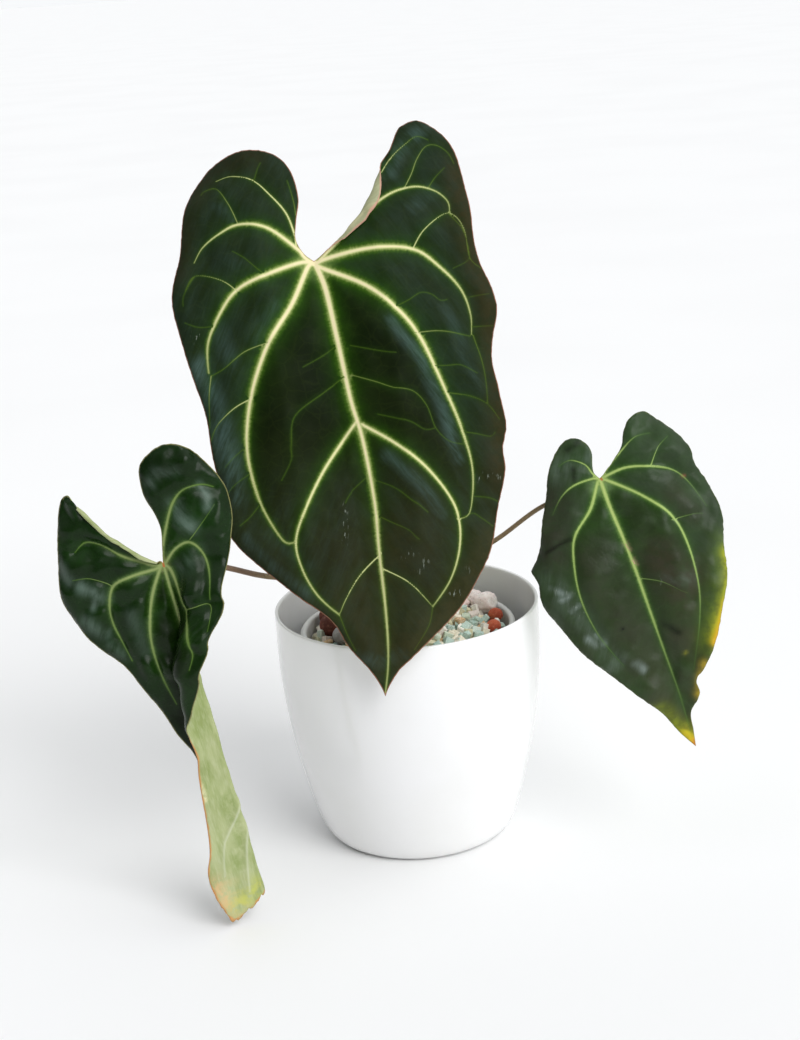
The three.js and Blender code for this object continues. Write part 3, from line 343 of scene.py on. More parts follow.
# What only the looks need, in mm of the flat blade. Cell and vein step space the mesh's points, and
# the slim values narrow the drawn veins. Roots lead a vein on to the stalk's end. Ripples and
# cushions give length, height and seed. Nicks and torn roughen the margin. Painted sheen and
# highlights, stains and scuffs are marks: a path, how far it reaches and how strong it is. A few of
# the glossy leaf's dark stains are painted shade, and the dull leaf's scuffs are painted highlights.
LOOKS = {
    "center": {
        "cell": 1.7, "vein_step": 1.3, "vein_rise": 0.25, "zone_veins": (1, 5), "slim_veins": 0.78,
        "slim_twigs": 0.6, "full_glow": 2.4, "glow_reach": 4.8, "glow_fall": 0.55, "end_fade": 0.42,
        "roots": {1: [(0, -3)], 2: [(0, -3)], 3: [(0, -3), (-5, 1.5)],
            4: [(-1, -2.5), (-6, 3.5), (-8.6, 8.5)], 5: [(0, -3)], 6: [(0, -3)],
            7: [(1, -3), (7, 1.5), (16, 8), (25, 14)]},
        "ripples": [(24, 0.5, 3), (9, 0.12, 4)], "cushions": [(17, 0.5, 12)],
        "smooth_below": [(75, 1), (-251, 1)], "nicks": 0.12, "torn": 0, "torn_below": -400,
        # Painted sheen: pale blue-grey streaks where the velvet catches the light.
        "bloom": [
            ([(-71, -50), (-68, -75), (-64, -100), (-65, -125)], 7, 0.85),
            ([(-60, -30), (-54, -52)], 8, 0.4),
            ([(-26, -24), (-40, -42)], 6, 0.35),
            ([(38, -44), (50, -66), (58, -95), (62, -125)], 4, 0.8),
            ([(24, -118), (38, -135), (48, -155)], 4.0, 0.5),
            ([(50, 42), (62, 60), (72, 66)], 5, 0.6),
            ([(60, 20), (72, 28)], 6, 0.4),
            ([(-48, 38), (-42, 30)], 4, 0.45),
            ([(-30, -8), (-48, 8)], 7, 0.22),
            ([(-12, -226), (0, -231), (12, -228)], 5, 0.5),
            ([(68, -40), (75, -70), (80, -90)], 5, 0.4),
            ([(-30, -170), (-50, -150)], 6, 0.25),
            ([(-62, -150), (-50, -168), (-30, -190)], 4, 0.4),
        ],
        "stains_and_shade": [
            ("#2a2413", [(-78, 5), (-70, 40), (-50, 64), (-25, 66)], 9, 0.5),
            ("#35301a", [(90, 40), (88, 10), (93, -30), (93, -80), (90, -110), (84, -140)], 9, 0.75),
            ("#3a3820", [(74, -176), (45, -208), (20, -228)], 12, 0.7),
            ("#34331d", [(20, -170), (0, -200), (4, -220)], 22, 0.55),
            ("#8f5a48", [(-79, -92), (-76, -110), (-75, -130)], 1.5, 0.8),
            ("#56703c", [(-4, 0), (0, -4), (5, -3)], 4.0, 0.5),
            ("#a8673c", [(0, -1)], 1.4, 0.9),
            ("#6d8a48", [(-9, -1), (-5, -6), (0, -9), (5, -7), (10, -2)], 3.6, 0.5),
        ],
        "scuffs_and_highlights": [
            ([(-6, -141), (-7, -150), (-9, -162)], 1.2, 0.7),
            ([(25, -175), (29, -173)], 1.8, 0.65),
            ([(30, -184), (33, -182), (36, -176)], 1.6, 0.6),
            ([(46, -200), (49, -200)], 2, 0.8),
            ([(56, -189)], 1.6, 0.6),
            ([(72, -138), (82, -139)], 1.8, 0.75),
            ([(-71, -32), (-71, -35)], 2, 0.9),
        ],
    },
    "right": {
        "cell": 1.5, "vein_step": 1.2, "vein_rise": 0.2, "zone_veins": (1, 4), "slim_veins": 0.86,
        "slim_twigs": 0.8, "full_glow": 1.8, "glow_reach": 3.2, "glow_fall": 0.4, "end_fade": 0.85,
        "roots": {1: [(0, -1)], 2: [(0, -1)], 3: [(0, -1)], 4: [(0, -1)], 5: [(0, -1)], 6: [(0, -1)]},
        "ripples": [(19, 0.9, 5), (9, 0.16, 6)], "cushions": [(22, 1.0, 15)],
        "smooth_below": [(30, 1), (-168, 1)], "nicks": 0.2, "torn": 0, "torn_below": -400,
        # Painted highlights on the lower left swellings, and soft painted sheen.
        "bloom": [
            ([(0, 10), (-20, 10)], 8, 0.3),
            ([(-47, -50), (-41, -56)], 2.2, 0.8),
            ([(-44, -58), (-38, -57)], 1.8, 0.9),
            ([(-42, -66), (-36, -64)], 1.6, 0.9),
            ([(-38, -84), (-34, -90)], 2.4, 0.8),
            ([(-33, -84), (-30, -90)], 1.8, 0.9),
            ([(-17, -107), (-14, -112)], 2.6, 0.7),
            ([(-47, -44), (-30, -96)], 7.0, 0.22),
            ([(-24, -100), (-30, -104)], 5, 0.3),
            ([(18, -66), (30, -72)], 4, 0.3),
        ],
        "stains_and_shade": [
            ("#34342a", [(-30, -5), (-40, -30)], 12, 0.8),
            ("#3a3528", [(16, -52), (22, -80), (30, -70)], 11, 0.75),
            ("#35382a", [(-22, -41), (-24, -65), (-14, -90)], 10, 0.6),
            ("#3b3a2c", [(14, -100), (22, -110)], 8, 0.65),
            ("#363428", [(36, -22), (42, -36)], 8, 0.5),
            ("#12180c", [(-12, 10), (-14, 3)], 1.4, 0.8),
            ("#12180c", [(-43, -30), (-34, -28), (-27, -27)], 1.4, 0.8),
            ("#12180c", [(-11, 21), (-4, 23)], 1.6, 0.7),
            ("#12180c", [(7, -91), (13, -98)], 2.0, 0.8),
            ("#0c1208", [(-18, -85)], 1.2, 1.0),
            ("#c9a28c", [(1, -40), (1.6, -44)], 1.3, 1.0),
            ("#c9a28c", [(1.4, -50), (1.8, -53)], 1.2, 1.0),
            ("#9c5a48", [(45, -15), (46, -15.5)], 0.9, 0.7),
            ("#8f8f2c", [(12, -111), (13, -110.5)], 1.0, 0.7),
            ("#5f7a26", [(56, -62), (51, -76), (41, -92), (29, -110)], 9, 0.7),
            ("#a9ac27", [(55, -66), (52, -76), (43, -91), (32, -107)], 4.6, 0.9),
            ("#dca722", [(44, -92), (38, -101), (31, -110)], 3.0, 0.95),
            ("#b39a2a", [(21, -120), (16, -128), (12, -137)], 3.0, 0.85),
            ("#8d9a26", [(-14, -141), (-8, -152), (0, -160)], 6, 0.85),
            ("#c9b528", [(-4, -158), (0, -164)], 4, 0.9),
            ("#d0722a", [(1, -165), (0, -168)], 3.0, 1.0),
            ("#c8642c", [(0, 1), (1, -1)], 1.8, 1.0),
            ("#86a46c", [(-3, -4), (1, -5)], 4.4, 0.75),
        ],
        # These scuffs are painted highlight flecks on the lower left swellings.
        "scuffs_and_highlights": [([(-43, -53), (-37, -67)], 3, 0.6), ([(12, -66)], 1.5, 0.5)],
    },
    "left": {
        "cell": 1.3, "vein_step": 1.1, "vein_rise": 0.15, "zone_veins": (1, 6), "slim_veins": 1.15,
        "slim_twigs": 0.8, "full_glow": 1.8, "glow_reach": 3.0, "glow_fall": 0.3, "end_fade": 0.7,
        "roots": {1: [(0, -1)], 2: [(0, -1)], 3: [(0, -1), (-5, 0)], 4: [(0, -1)], 5: [(0, -1)],
            6: [(0, -1)]},
        "ripples": [(17, 1.1, 7), (8, 0.15, 8)], "cushions": [(19, 3.5, 19)],
        "smooth_below": [(60, 1), (-50, 0.9), (-80, 0.25), (-196, 0.15)], "nicks": 0.15, "torn": 1.0,
        "torn_below": -186,
        # Painted highlights on the blisters, and soft painted sheen.
        "bloom": [
            ([(-46, -1), (-40, -5), (-36, -10)], 3.6, 1.0),
            ([(-40, -8), (-44, -14)], 2.0, 0.7),
            ([(15, 30), (17, 22), (21, 16)], 4.0, 0.9),
            ([(31, 36), (33, 30), (32, 24)], 2.6, 0.9),
            ([(-50, -20), (-42, -29)], 4, 0.6),
            ([(-54, 12), (-52, 4)], 3.5, 0.5),
            ([(20, 47), (10, 49), (6, 44)], 3.4, 0.5),
            ([(8, -8), (20, 2)], 5, 0.35),
            ([(-40, -36), (-34, -46)], 3.0, 0.4),
            ([(-24, -22), (-22, -44)], 4, 0.3),
        ],
        "stains_and_shade": [
            ("#b06a3c", [(0, 1), (0, -2)], 2.2, 1.0),
            ("#7f9a3a", [(0, -12), (1, -40)], 0.9, 0.9),
            ("#6f7a24", [(-56, 30)], 3.5, 0.6),
            # Painted shade: dark patches where the crumpled blade lies in shade.
            ("#0a1a06", [(-26, 8), (-24, 2)], 6, 0.6),
            ("#0a1a06", [(6, 52), (14, 52)], 6, 0.6),
            ("#0b1a06", [(-30, -60), (-24, -80)], 5, 0.6),
            ("#d3ab7c", [(31, -184), (28, -197), (21, -204)], 5, 0.75),
            ("#c8b684", [(24, -190)], 7, 0.5),
            ("#e6dcae", [(22.5, -115), (22, -134)], 1.4, 0.8),
            ("#7c9049", [(10, -139), (10, -164), (14.5, -178)], 4.5, 0.55),
            ("#b9bd5c", [(22, -200), (16, -198), (8, -194)], 5.5, 0.8),
            ("#cf9a62", [(3, -195)], 2.5, 0.7),
        ],
        "scuffs_and_highlights": [],
    },
}


def add(tree, kind, sockets=None, **settings):
    """Adds a node to a tree, with its settings, and joins or fills its sockets."""
    made = tree.nodes.new(kind)
    for key, value in settings.items():
        setattr(made, key, value)
    for key, value in (sockets or {}).items():
        fill(tree, made.inputs[key], value)
    return made


def fill(tree, socket, value):
    """Joins another socket to this one, or sets its value."""
    if isinstance(value, bpy.types.NodeSocket):
        tree.links.new(value, socket)
    elif value is not None:
        socket.default_value = value


def number(tree, operation, *values):
    made = add(tree, "ShaderNodeMath", operation=operation)
    for socket, value in zip(made.inputs, values):
        fill(tree, socket, value)
    return made.outputs[0]


def times(tree, product, *others):
    for value in others:
        product = number(tree, "MULTIPLY", product, value)
    return product


def vector(tree, operation, *values):
    made = add(tree, "ShaderNodeVectorMath", operation=operation)
    for socket, value in zip(made.inputs, values):
        fill(tree, socket, value)
    return made.outputs[0]


def mixed(tree, factor, under, over):
    """One colour laid over another by a factor. Each is a socket or a hex code."""
    made = add(tree, "ShaderNodeMix", data_type="RGBA")
    fill(tree, made.inputs[0], factor)
    for index, tone in ((6, under), (7, over)):
        fill(tree, made.inputs[index], colour(tone) if isinstance(tone, str) else tone)
    return made.outputs[2]


def remapped(tree, value, start, end, low=0.0, high=1.0):
    sockets = {"Value": value, "From Min": start, "From Max": end, "To Min": low, "To Max": high}
    return add(tree, "ShaderNodeMapRange", sockets, interpolation_type="SMOOTHSTEP").outputs[0]


def noise(tree, where, scale, detail=3.0, roughness=0.5, output=0):
    sockets = {"Vector": where, "Scale": scale, "Detail": detail, "Roughness": roughness}
    return add(tree, "ShaderNodeTexNoise", sockets).outputs[output]


def blotched(tree, where, scale, start, end, under, over, detail=4, roughness=0.5):
    """Two tones in soft patches."""
    patches = remapped(tree, noise(tree, where, scale, detail, roughness), start, end)
    return mixed(tree, patches, under, over)


def cells(tree, where, scale, feature="F1"):
    made = add(tree, "ShaderNodeTexVoronoi", {"Vector": where, "Scale": scale}, feature=feature)
    return made.outputs[0]


def attribute(tree, name):
    return add(tree, "ShaderNodeAttribute", attribute_name=name)


def stored(tree, name):
    """The number that a mesh holds at its points under this name."""
    return attribute(tree, name).outputs["Fac"]


def colour(code):
    """Linear colour of a hex code."""
    parts = [int(code[i:i + 2], 16) / 255 for i in (1, 3, 5)]
    return tuple(c / 12.92 if c <= 0.04045 else ((c + 0.055) / 1.055) ** 2.4 for c in parts) + (1.0,)


def new_finish(name, **constants):
    """A material with its shader's constants set, and its tree and shader."""
    material = bpy.data.materials.new(name)
    material.use_nodes = True
    shader = material.node_tree.nodes["Principled BSDF"]
    for key, value in constants.items():
        shader.inputs[key.replace("_", " ")].default_value = value
    return material, material.node_tree, shader


def object_place(tree):
    return add(tree, "ShaderNodeTexCoord").outputs["Object"]


def painted(tree, shader, tone):
    tree.links.new(tone, shader.inputs["Base Color"])


def bumped(tree, shader, height, depth, strength=1.0):
    """Joins a height, in parts of the depth in metres, to the shader's normal."""
    made = add(tree, "ShaderNodeBump", {"Height": height, "Distance": depth, "Strength": strength})
    tree.links.new(made.outputs[0], shader.inputs["Normal"])


def new_object(name, mesh, *materials):
    piece = bpy.data.objects.new(name, mesh)
    bpy.context.scene.collection.objects.link(piece)
    for material in materials:
        mesh.materials.append(material)
    return piece


def settle(piece, slot, *nodes):
    """Rides a finished piece on the plant's body in place of its CAD nodes."""
    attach(piece, "root")
    if nodes:
        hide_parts(*nodes)


def new_growth(name, sizes):
    """A geometry tree with a geometry input and output, and named inputs for its sizes."""
    tree = bpy.data.node_groups.new(name, "GeometryNodeTree")
    tree.interface.new_socket("Geometry", in_out="OUTPUT", socket_type="NodeSocketGeometry")
    tree.interface.new_socket("Geometry", in_out="INPUT", socket_type="NodeSocketGeometry")
    for label, value in sizes.items():
        kind = "NodeSocketInt" if isinstance(value, int) else "NodeSocketFloat"
        socket = tree.interface.new_socket(label, in_out="INPUT", socket_type=kind)
        socket.default_value = value
    tree.interface.new_socket("Finish", in_out="INPUT", socket_type="NodeSocketMaterial")
    return tree, add(tree, "NodeGroupInput").outputs, add(tree, "NodeGroupOutput").inputs[0]


def ended(tree, given, result, last, smooth=True):
    """Ends a tree: smooth or faceted, with real geometry and the finish that it is given."""
    if smooth:
        last = add(tree, "GeometryNodeSetShadeSmooth", {"Geometry": last}).outputs[0]
    real = add(tree, "GeometryNodeRealizeInstances", {"Geometry": last})
    sockets = {"Geometry": real.outputs[0], "Material": given["Finish"]}
    tree.links.new(add(tree, "GeometryNodeSetMaterial", sockets).outputs[0], result)
    return tree


def as_built(piece):
    """A plain mesh of a piece as its modifiers make it."""
    evaluated = piece.evaluated_get(bpy.context.evaluated_depsgraph_get())
    return bpy.data.meshes.new_from_object(evaluated)


def grown(name, tree, base, finish, sizes):
    """Runs a geometry tree on a base mesh, with its inputs set, and returns the plain result."""
    seed = new_object(name + "_base", base)
    modifier = seed.modifiers.new("growth", "NODES")
    modifier.node_group = tree
    wanted = {"Finish": finish, **sizes}
    for item in tree.interface.items_tree:
        if item.in_out == "INPUT" and item.name in wanted:
            modifier[item.identifier] = wanted[item.name]
    seed.update_tag()
    mesh = as_built(seed)
    seed.modifiers.remove(modifier)
    bpy.data.objects.remove(seed)
    mesh.name = name
    return new_object(name, mesh)


def finished(work, name):
    """A plain mesh of an edit mesh, which is freed."""
    mesh = bpy.data.meshes.new(name)
    work.to_mesh(mesh)
    work.free()
    return mesh


def thread(points):
    """A mesh of edges through points in millimetres."""
    mesh = bpy.data.meshes.new("thread")
    places = [Vector(point) * MM for point in points]
    mesh.from_pydata(places, [(i, i + 1) for i in range(len(places) - 1)], [])
    return mesh


def eased(b, c, v0, v1, t):
    """Points on the cubic from b to c that leaves with the one speed and arrives with the other."""
    return (2 * b - 2 * c + v0 + v1) * t**3 + (-3 * b + 3 * c - 2 * v0 - v1) * t**2 + v0 * t + b


def evenly(curve, step=None, count=None):
    """Points spaced evenly along a curve, by their step or their count."""
    run = np.concatenate([[0], np.cumsum(np.linalg.norm(np.diff(curve, axis=0), axis=1))])
    wanted = np.linspace(0, run[-1], count or max(2, round(run[-1] / step)) + 1)
    return np.column_stack([np.interp(wanted, run, column) for column in curve.T])


def smooth_path(points, step):
    """Points spaced evenly along the smooth curve through the given ones."""
    given = np.array(points, float)
    ends = np.vstack([given[:1], given, given[-1:]])
    t = np.linspace(0, 1, 12, endpoint=False)[:, None]
    parts = [
        eased(b, c, (c - a) / 2, (d - b) / 2, t)
        for a, b, c, d in zip(ends, ends[1:], ends[2:], ends[3:])
    ]
    return evenly(np.vstack(parts + [given[-1:]]), step)


class Nearness:
    """How far points lie from a path, how far along it, on which side, and the nearest place on it."""

    def __init__(self, path, points):
        count = len(points)
        self.distance = np.full(count, np.inf)
        self.along = np.zeros(count)
        self.cross = np.zeros(count)
        self.foot = np.zeros((count, 2))
        self.normal = np.zeros((count, 2))
        self.beyond = np.zeros(count, bool)
        lengths = np.linalg.norm(np.diff(path, axis=0), axis=1)
        starts = np.concatenate([[0], np.cumsum(lengths)])
        for i, (a, b, length) in enumerate(zip(path, path[1:], lengths)):
            way = (b - a) / length
            offset = points - a
            reach = offset @ way
            kept = np.clip(reach, 0, length)
            foot = a + kept[:, None] * way
            distance = np.hypot(*(points - foot).T)
            near = distance < self.distance
            self.distance[near] = distance[near]
            self.along[near] = ((starts[i] + kept) / starts[-1])[near]
            self.cross[near] = (way[0] * offset[:, 1] - way[1] * offset[:, 0])[near]
            self.foot[near] = foot[near]
            self.normal[near] = (-way[1], way[0])
            past = (reach < 0) & (i == 0) | (reach > length) & (i == len(lengths) - 1)
            self.beyond[near] = past[near]


def at_station(stations, y):
    """Smooth values between stations listed by falling y."""
    table = np.array(stations, float)
    heights = table[:, 0]
    held = np.clip(y, heights[-1], heights[0])
    index = np.clip(np.searchsorted(-heights, -held), 1, len(heights) - 1)
    t = (heights[index - 1] - held) / (heights[index - 1] - heights[index])
    ease = (t * t * (3 - 2 * t))[:, None]
    return table[index - 1, 1:] * (1 - ease) + table[index, 1:] * ease


def follow_strip(distance, turn, reach, turn_back):
    """Where a strip of blade has gone, across and out, that bends at the rib and again at its reach."""
    bend = FOLD_RADIUS * np.abs(turn)
    pieces = [(bend, turn), (np.maximum(0.1, reach - bend), 0 * turn)]
    pieces += [(TURN_BACK_RADIUS * np.abs(turn_back), -turn_back), (np.full_like(turn, 1e9), 0 * turn)]
    left = distance.copy()
    across, out, slope = (np.zeros_like(distance) for _ in range(3))
    for length, angle in pieces:
        part = np.minimum(left, length)
        bent = angle * part / np.maximum(length, 1e-9)
        chord = part * np.sinc(bent / 2 / np.pi)
        across += chord * np.cos(slope + bent / 2)
        out += chord * np.sin(slope + bent / 2)
        slope += bent
        left -= part
    return across, out, slope


def ripple(points, length, seed):
    """A soft uneven wave over the leaf, from -1 to 1, about one crest each length."""
    random = np.random.default_rng(seed)
    total = np.zeros(len(points))
    waves = 9
    for _ in range(waves):
        angle = random.uniform(0, 2 * np.pi)
        wave = 2 * np.pi / (length * random.uniform(0.75, 1.4))
        way = np.array([math.cos(angle), math.sin(angle)]) * wave
        total += np.sin(points @ way + random.uniform(0, 2 * np.pi))
    return total / (waves / 2)


def cushions(points, spacing, seed):
    """Swellings between a net of narrow grooves: 0 in the grooves and 1 on top, some higher than others."""
    random = np.random.default_rng(seed)
    low, high = points.min(axis=0) - spacing, points.max(axis=0) + spacing
    across, up = (np.arange(a, b, spacing) for a, b in zip(low, high))
    seats = np.array([(x, y) for x in across for y in up])
    seats = seats + random.uniform(-0.42, 0.42, seats.shape) * spacing
    heights = random.uniform(0.35, 1, len(seats))
    first, second = np.full(len(points), np.inf), np.full(len(points), np.inf)
    tall = np.zeros(len(points))
    for seat, height in zip(seats, heights):
        distance = np.hypot(*(points - seat).T)
        nearer = distance < first
        second = np.where(nearer, first, np.minimum(second, distance))
        first = np.where(nearer, distance, first)
        tall = np.where(nearer, height, tall)
    return tall * (1 - np.exp(-(((second - first) / (0.45 * spacing)) ** 2)))


def trace(leaf):
    """Draws the leaf's margin and veins once, coarse as in the model for its form, and fine."""
    left = smooth_path(leaf["left"], 6)
    right = smooth_path(leaf["right"], 6)[::-1]
    leaf["edge"] = np.vstack([left, right[1:]])
    leaf["lines"] = [smooth_path(points, 7.5) for _, _, points in leaf["veins"]]
    leaf["drawn"] = []
    for index, (start, end, points) in enumerate(leaf["veins"] + leaf["twigs"]):
        slim = leaf["slim_veins"] if index < len(leaf["veins"]) else leaf["slim_twigs"]
        path = smooth_path(leaf["roots"].get(index, []) + points, 2)
        leaf["drawn"].append((start * slim, end * slim, path))


def curled(leaf, points):
    """Rolls what lies past the curl line over towards the upper face."""
    x, y, lift = points[:, 0].copy(), points[:, 1].copy(), np.zeros(len(points))
    if "curl" in leaf:
        curl = leaf["curl"]
        side = np.sign(curl["line"][1][0])
        near = Nearness(np.array(curl["line"], float), points)
        rolled = ~near.beyond & (near.cross * side > 0) & (x * side >= 1)
        radius = curl["radius"]
        opening = np.clip((1 - near.along) / curl["fade"], 0, 1) * np.clip(near.along / curl["start"], 0, 1)
        most = math.radians(curl["turn"]) * opening * opening * (3 - 2 * opening)
        angle = np.minimum(most, near.distance / radius)
        rest = near.distance - radius * angle
        off = radius * np.sin(angle) + rest * np.cos(angle)
        place = near.foot + near.normal * (side * off)[:, None]
        x[rolled], y[rolled] = place[rolled].T
        lift[rolled] = (radius * (1 - np.cos(angle)) + rest * np.sin(angle))[rolled]
    return x, y, lift


def blade_points(leaf, points, detail=None):
    """Where points of the flat blade lie on the folded, waved one, with detail added along its normal."""
    x, y, lift = curled(leaf, points)
    sides = [at_station(leaf[key], y) for key in ("left_fold", "right_fold")]
    turn, reach, turn_back = np.where((x < 0)[:, None], *sides).T
    strip = follow_strip(np.abs(x) * leaf["stretch"], np.radians(turn), reach, np.radians(turn_back))
    across, out, slope = strip
    place = np.column_stack([x, y])
    to_vein = np.min([Nearness(line, place).distance for line in leaf["lines"]], axis=0)
    to_edge = Nearness(leaf["edge"], points).distance
    pucker, wave = leaf["pucker"], leaf["wave"]
    swell = pucker["height"] * at_station(pucker["fade"], y)[:, 0] * np.minimum(1, to_edge / FLAT_AT_EDGE)
    off = lift + swell * (1 - np.exp(-((to_vein / pucker["width"]) ** 2)))
    phase = wave["start"] + 2 * np.pi * y / wave["length"] + np.where(x < 0, OTHER_HALF_PHASE, 0)
    calm = np.exp(-to_edge / wave["reach"]) * np.minimum(1, np.abs(x) / CALM_AT_RIB)
    off += wave["height"] * np.sin(phase) * np.where(lift > 0, 0, calm)
    if detail is not None:
        off += detail
    side = np.where(x < 0, -1, 1)
    rise = out + off * np.cos(slope) + at_station(leaf["arch"], y)[:, 0]
    return np.column_stack([side * (across - off * np.sin(slope)), y, rise])


def leaf_frame(leaf):
    """Turns the leaf's own axes into the plant's, in millimetres."""
    junction = Vector(leaf["junction"])
    up = (junction - Vector(leaf["tip"])).normalized()
    facing = Vector(leaf["facing"])
    out = (facing - up * facing.dot(up)).normalized()
    return Matrix.Translation(junction) @ Matrix((up.cross(out), up, out)).transposed().to_4x4()


def thinned(points, rooms, held):
    """Keeps each point that lies at least its room from those kept before it."""
    kept = list(held)
    size = 1.0
    bins = {}
    for point in kept:
        bins.setdefault((int(point[0] // size), int(point[1] // size)), []).append(point)
    for point, room in zip(points, rooms):
        column, row = int(point[0] // size), int(point[1] // size)
        reach = int(math.ceil(room / size))
        close = False
        for i in range(column - reach, column + reach + 1):
            for j in range(row - reach, row + reach + 1):
                for x, y in bins.get((i, j), ()):
                    if (x - point[0]) ** 2 + (y - point[1]) ** 2 < room * room:
                        close = True
        if not close:
            kept.append((point[0], point[1]))
            bins.setdefault((column, row), []).append((point[0], point[1]))
    return kept


def vein_rows(leaf):
    """Points along each vein's middle and both its sides, thick veins first."""
    rows, rooms = [], []
    for start, end, path in sorted(leaf["drawn"], key=lambda vein: -vein[0]):
        step = np.gradient(path, axis=0)
        normal = np.column_stack([-step[:, 1], step[:, 0]]) / np.hypot(*step.T)[:, None]
        width = np.linspace(start, end, len(path))
        for part in (0, 0.5, -0.5):
            fine = smooth_path(path + normal * (width * part)[:, None], leaf["vein_step"])
            rows.append(fine)
            rooms += [SIDE_ROOM if part else VEIN_ROOM] * len(fine)
        for part in (1, -1):
            beside = path + normal * ((width * 0.5 + BESIDE_VEIN) * part)[:, None]
            fine = smooth_path(beside, leaf["vein_step"] * BESIDE_STEP)
            rows.append(fine)
            rooms += [BESIDE_ROOM] * len(fine)
    return np.vstack(rows), rooms


def roll_rows(leaf):
    """Rows of points along the curl line and across its roll, where the blade bends most."""
    line, radius = leaf["curl"]["line"], leaf["curl"]["radius"]
    path = smooth_path(line, leaf["cell"])
    outward = Nearness(path, path + 1e-6).normal * np.sign(line[1][0]) * radius
    return np.vstack([path + outward * turn for turn in (0, 0.5, 1, 1.5, 2, 2.5, 2.9)])


def flat_blade(leaf):
    """The flat blade's points and triangles: its margin, its veins, its roll and an even fill."""
    step = leaf["cell"]
    left = smooth_path(leaf["left"], step)
    right = smooth_path(leaf["right"], step)[::-1]
    outline = np.vstack([left, right[1:-1]])
    outline = outline + ragged(leaf, outline)
    rows, rooms = vein_rows(leaf)
    lines = [rows]
    if "curl" in leaf:
        lines.append(roll_rows(leaf))
        rooms += [ROLL_ROOM] * len(lines[-1])
    low, high = outline.min(axis=0), outline.max(axis=0)
    xs = np.arange(low[0], high[0], step)
    ys = np.arange(low[1], high[1], step * math.sqrt(3) / 2)
    grid = np.array([(x + (step / 2 if row % 2 else 0), y) for row, y in enumerate(ys) for x in xs])
    lines.append(grid)
    rooms += [step * CELL_ROOM] * len(grid)
    inner = np.vstack(lines)
    to_outline = Nearness(np.vstack([outline, outline[:1]]), inner).distance
    within = inside(outline, inner) & (to_outline > step * MARGIN_ROOM)
    chosen = thinned(inner[within], np.array(rooms)[within], [tuple(point) for point in outline])
    count = len(outline)
    ring = [(i, (i + 1) % count) for i in range(count)]
    result = delaunay_2d_cdt([Vector(point) for point in chosen], ring, [], 1, 1e-5)
    points = np.array([(point.x, point.y) for point in result[0]])
    return points, np.array([face for face in result[2] if len(face) == 3])


def ragged(leaf, outline):
    """Small nicks in the margin, more where the leaf's end is torn."""
    near_tip = np.clip((leaf["torn_below"] - outline[:, 1]) / 10, 0, 1)
    size = leaf["nicks"] + near_tip * leaf["torn"]
    jitter = (ripple(outline, 5, 21) + 0.5 * ripple(outline, 2.3, 22)) * size
    outward = outline - outline.mean(axis=0)
    outward /= np.hypot(*outward.T)[:, None]
    return outward * jitter[:, None]


def inside(polygon, points):
    within = np.zeros(len(points), bool)
    x, y = points.T
    for (xi, yi), (xj, yj) in zip(polygon, np.roll(polygon, 1, axis=0)):
        if yi != yj:
            within ^= ((yi > y) != (yj > y)) & (x < (xj - xi) * (y - yi) / (yj - yi) + xi)
    return within


def spread(marks, points):
    """How strongly marks, each a path, a reach and a strength, cover the points."""
    total = np.zeros(len(points))
    for path, reach, strength in marks:
        line = np.array(path, float)
        if len(line) == 1:
            line = np.vstack([line, line + (0.1, 0.1)])
        total = np.maximum(total, strength * np.exp(-((Nearness(line, points).distance / reach) ** 2)))
    return total


def vein_marks(leaf, place):
    """What veins give to the points: distance to a border, glow, width, brightness, run, rib, groove."""
    vein = np.full(len(place), FAR)
    glow, pale, bright, run, rib, groove = (np.zeros(len(place)) for _ in range(6))
    for index, (start, end, path) in enumerate(leaf["drawn"]):
        near = Nearness(path, place)
        main = index < len(leaf["veins"])
        width = start + (end - start) * near.along
        border = near.distance - width / 2
        nearest = border < vein
        faded = 1 - (leaf["end_fade"] if main else 0.75) * near.along**2
        length = np.hypot(*np.diff(path, axis=0).T).sum()
        pale = np.where(nearest, width, pale)
        bright = np.where(nearest, faded * np.clip((start - 0.2) / 0.6, 0.15, 1), bright)
        run = np.where(nearest, near.along * length + SPUR_SHIFT * index, run)
        vein = np.minimum(vein, border)
        size = np.minimum(1, width / leaf["full_glow"]) ** 0.75
        reach = leaf["glow_reach"] * (0.35 + 0.65 * size)
        strength = size * (1 - leaf["glow_fall"] * near.along)
        glow = np.maximum(glow, strength * np.exp(-np.maximum(border, 0) / reach))
        rise = (1.0 if index == 0 else 0.6) if main else 0.25
        rib = np.maximum(rib, rise * np.exp(-((near.distance / (0.55 * width + 0.5)) ** 2)))
        depth = 0.0 if main else 0.35 + 0.25 * width
        groove = np.maximum(groove, depth * np.exp(-((near.distance / 2.2) ** 2)))
    return {"vein": vein, "glow": glow, "pale": pale, "bright": bright, "run": run}, rib, groove


def blade_relief(leaf, flat, vein, groove, to_edge):
    """Fine relief along the blade's normal: grooves, ripples and swellings, and the raised veins."""
    calm = np.minimum(1, to_edge / CALM_AT_EDGE)
    relief = -groove * calm
    even = at_station(leaf["smooth_below"], flat[:, 1])[:, 0]
    open_field = calm * np.minimum(1, np.maximum(vein, 0) / CALM_AT_VEIN) * even
    for swelling, rows in ((ripple, leaf["ripples"]), (cushions, leaf["cushions"])):
        for length, height, seed in rows:
            relief += height * swelling(flat, length, seed) * open_field
    return relief + leaf["vein_rise"] * np.clip(-vein / 1.2, 0, 1)


def point_normals(places, faces):
    corners = places[faces]
    cross = np.cross(corners[:, 1] - corners[:, 0], corners[:, 2] - corners[:, 0])
    normal = np.zeros_like(places)
    for k in range(3):
        np.add.at(normal, faces[:, k], cross)
    return normal / np.linalg.norm(normal, axis=1)[:, None]


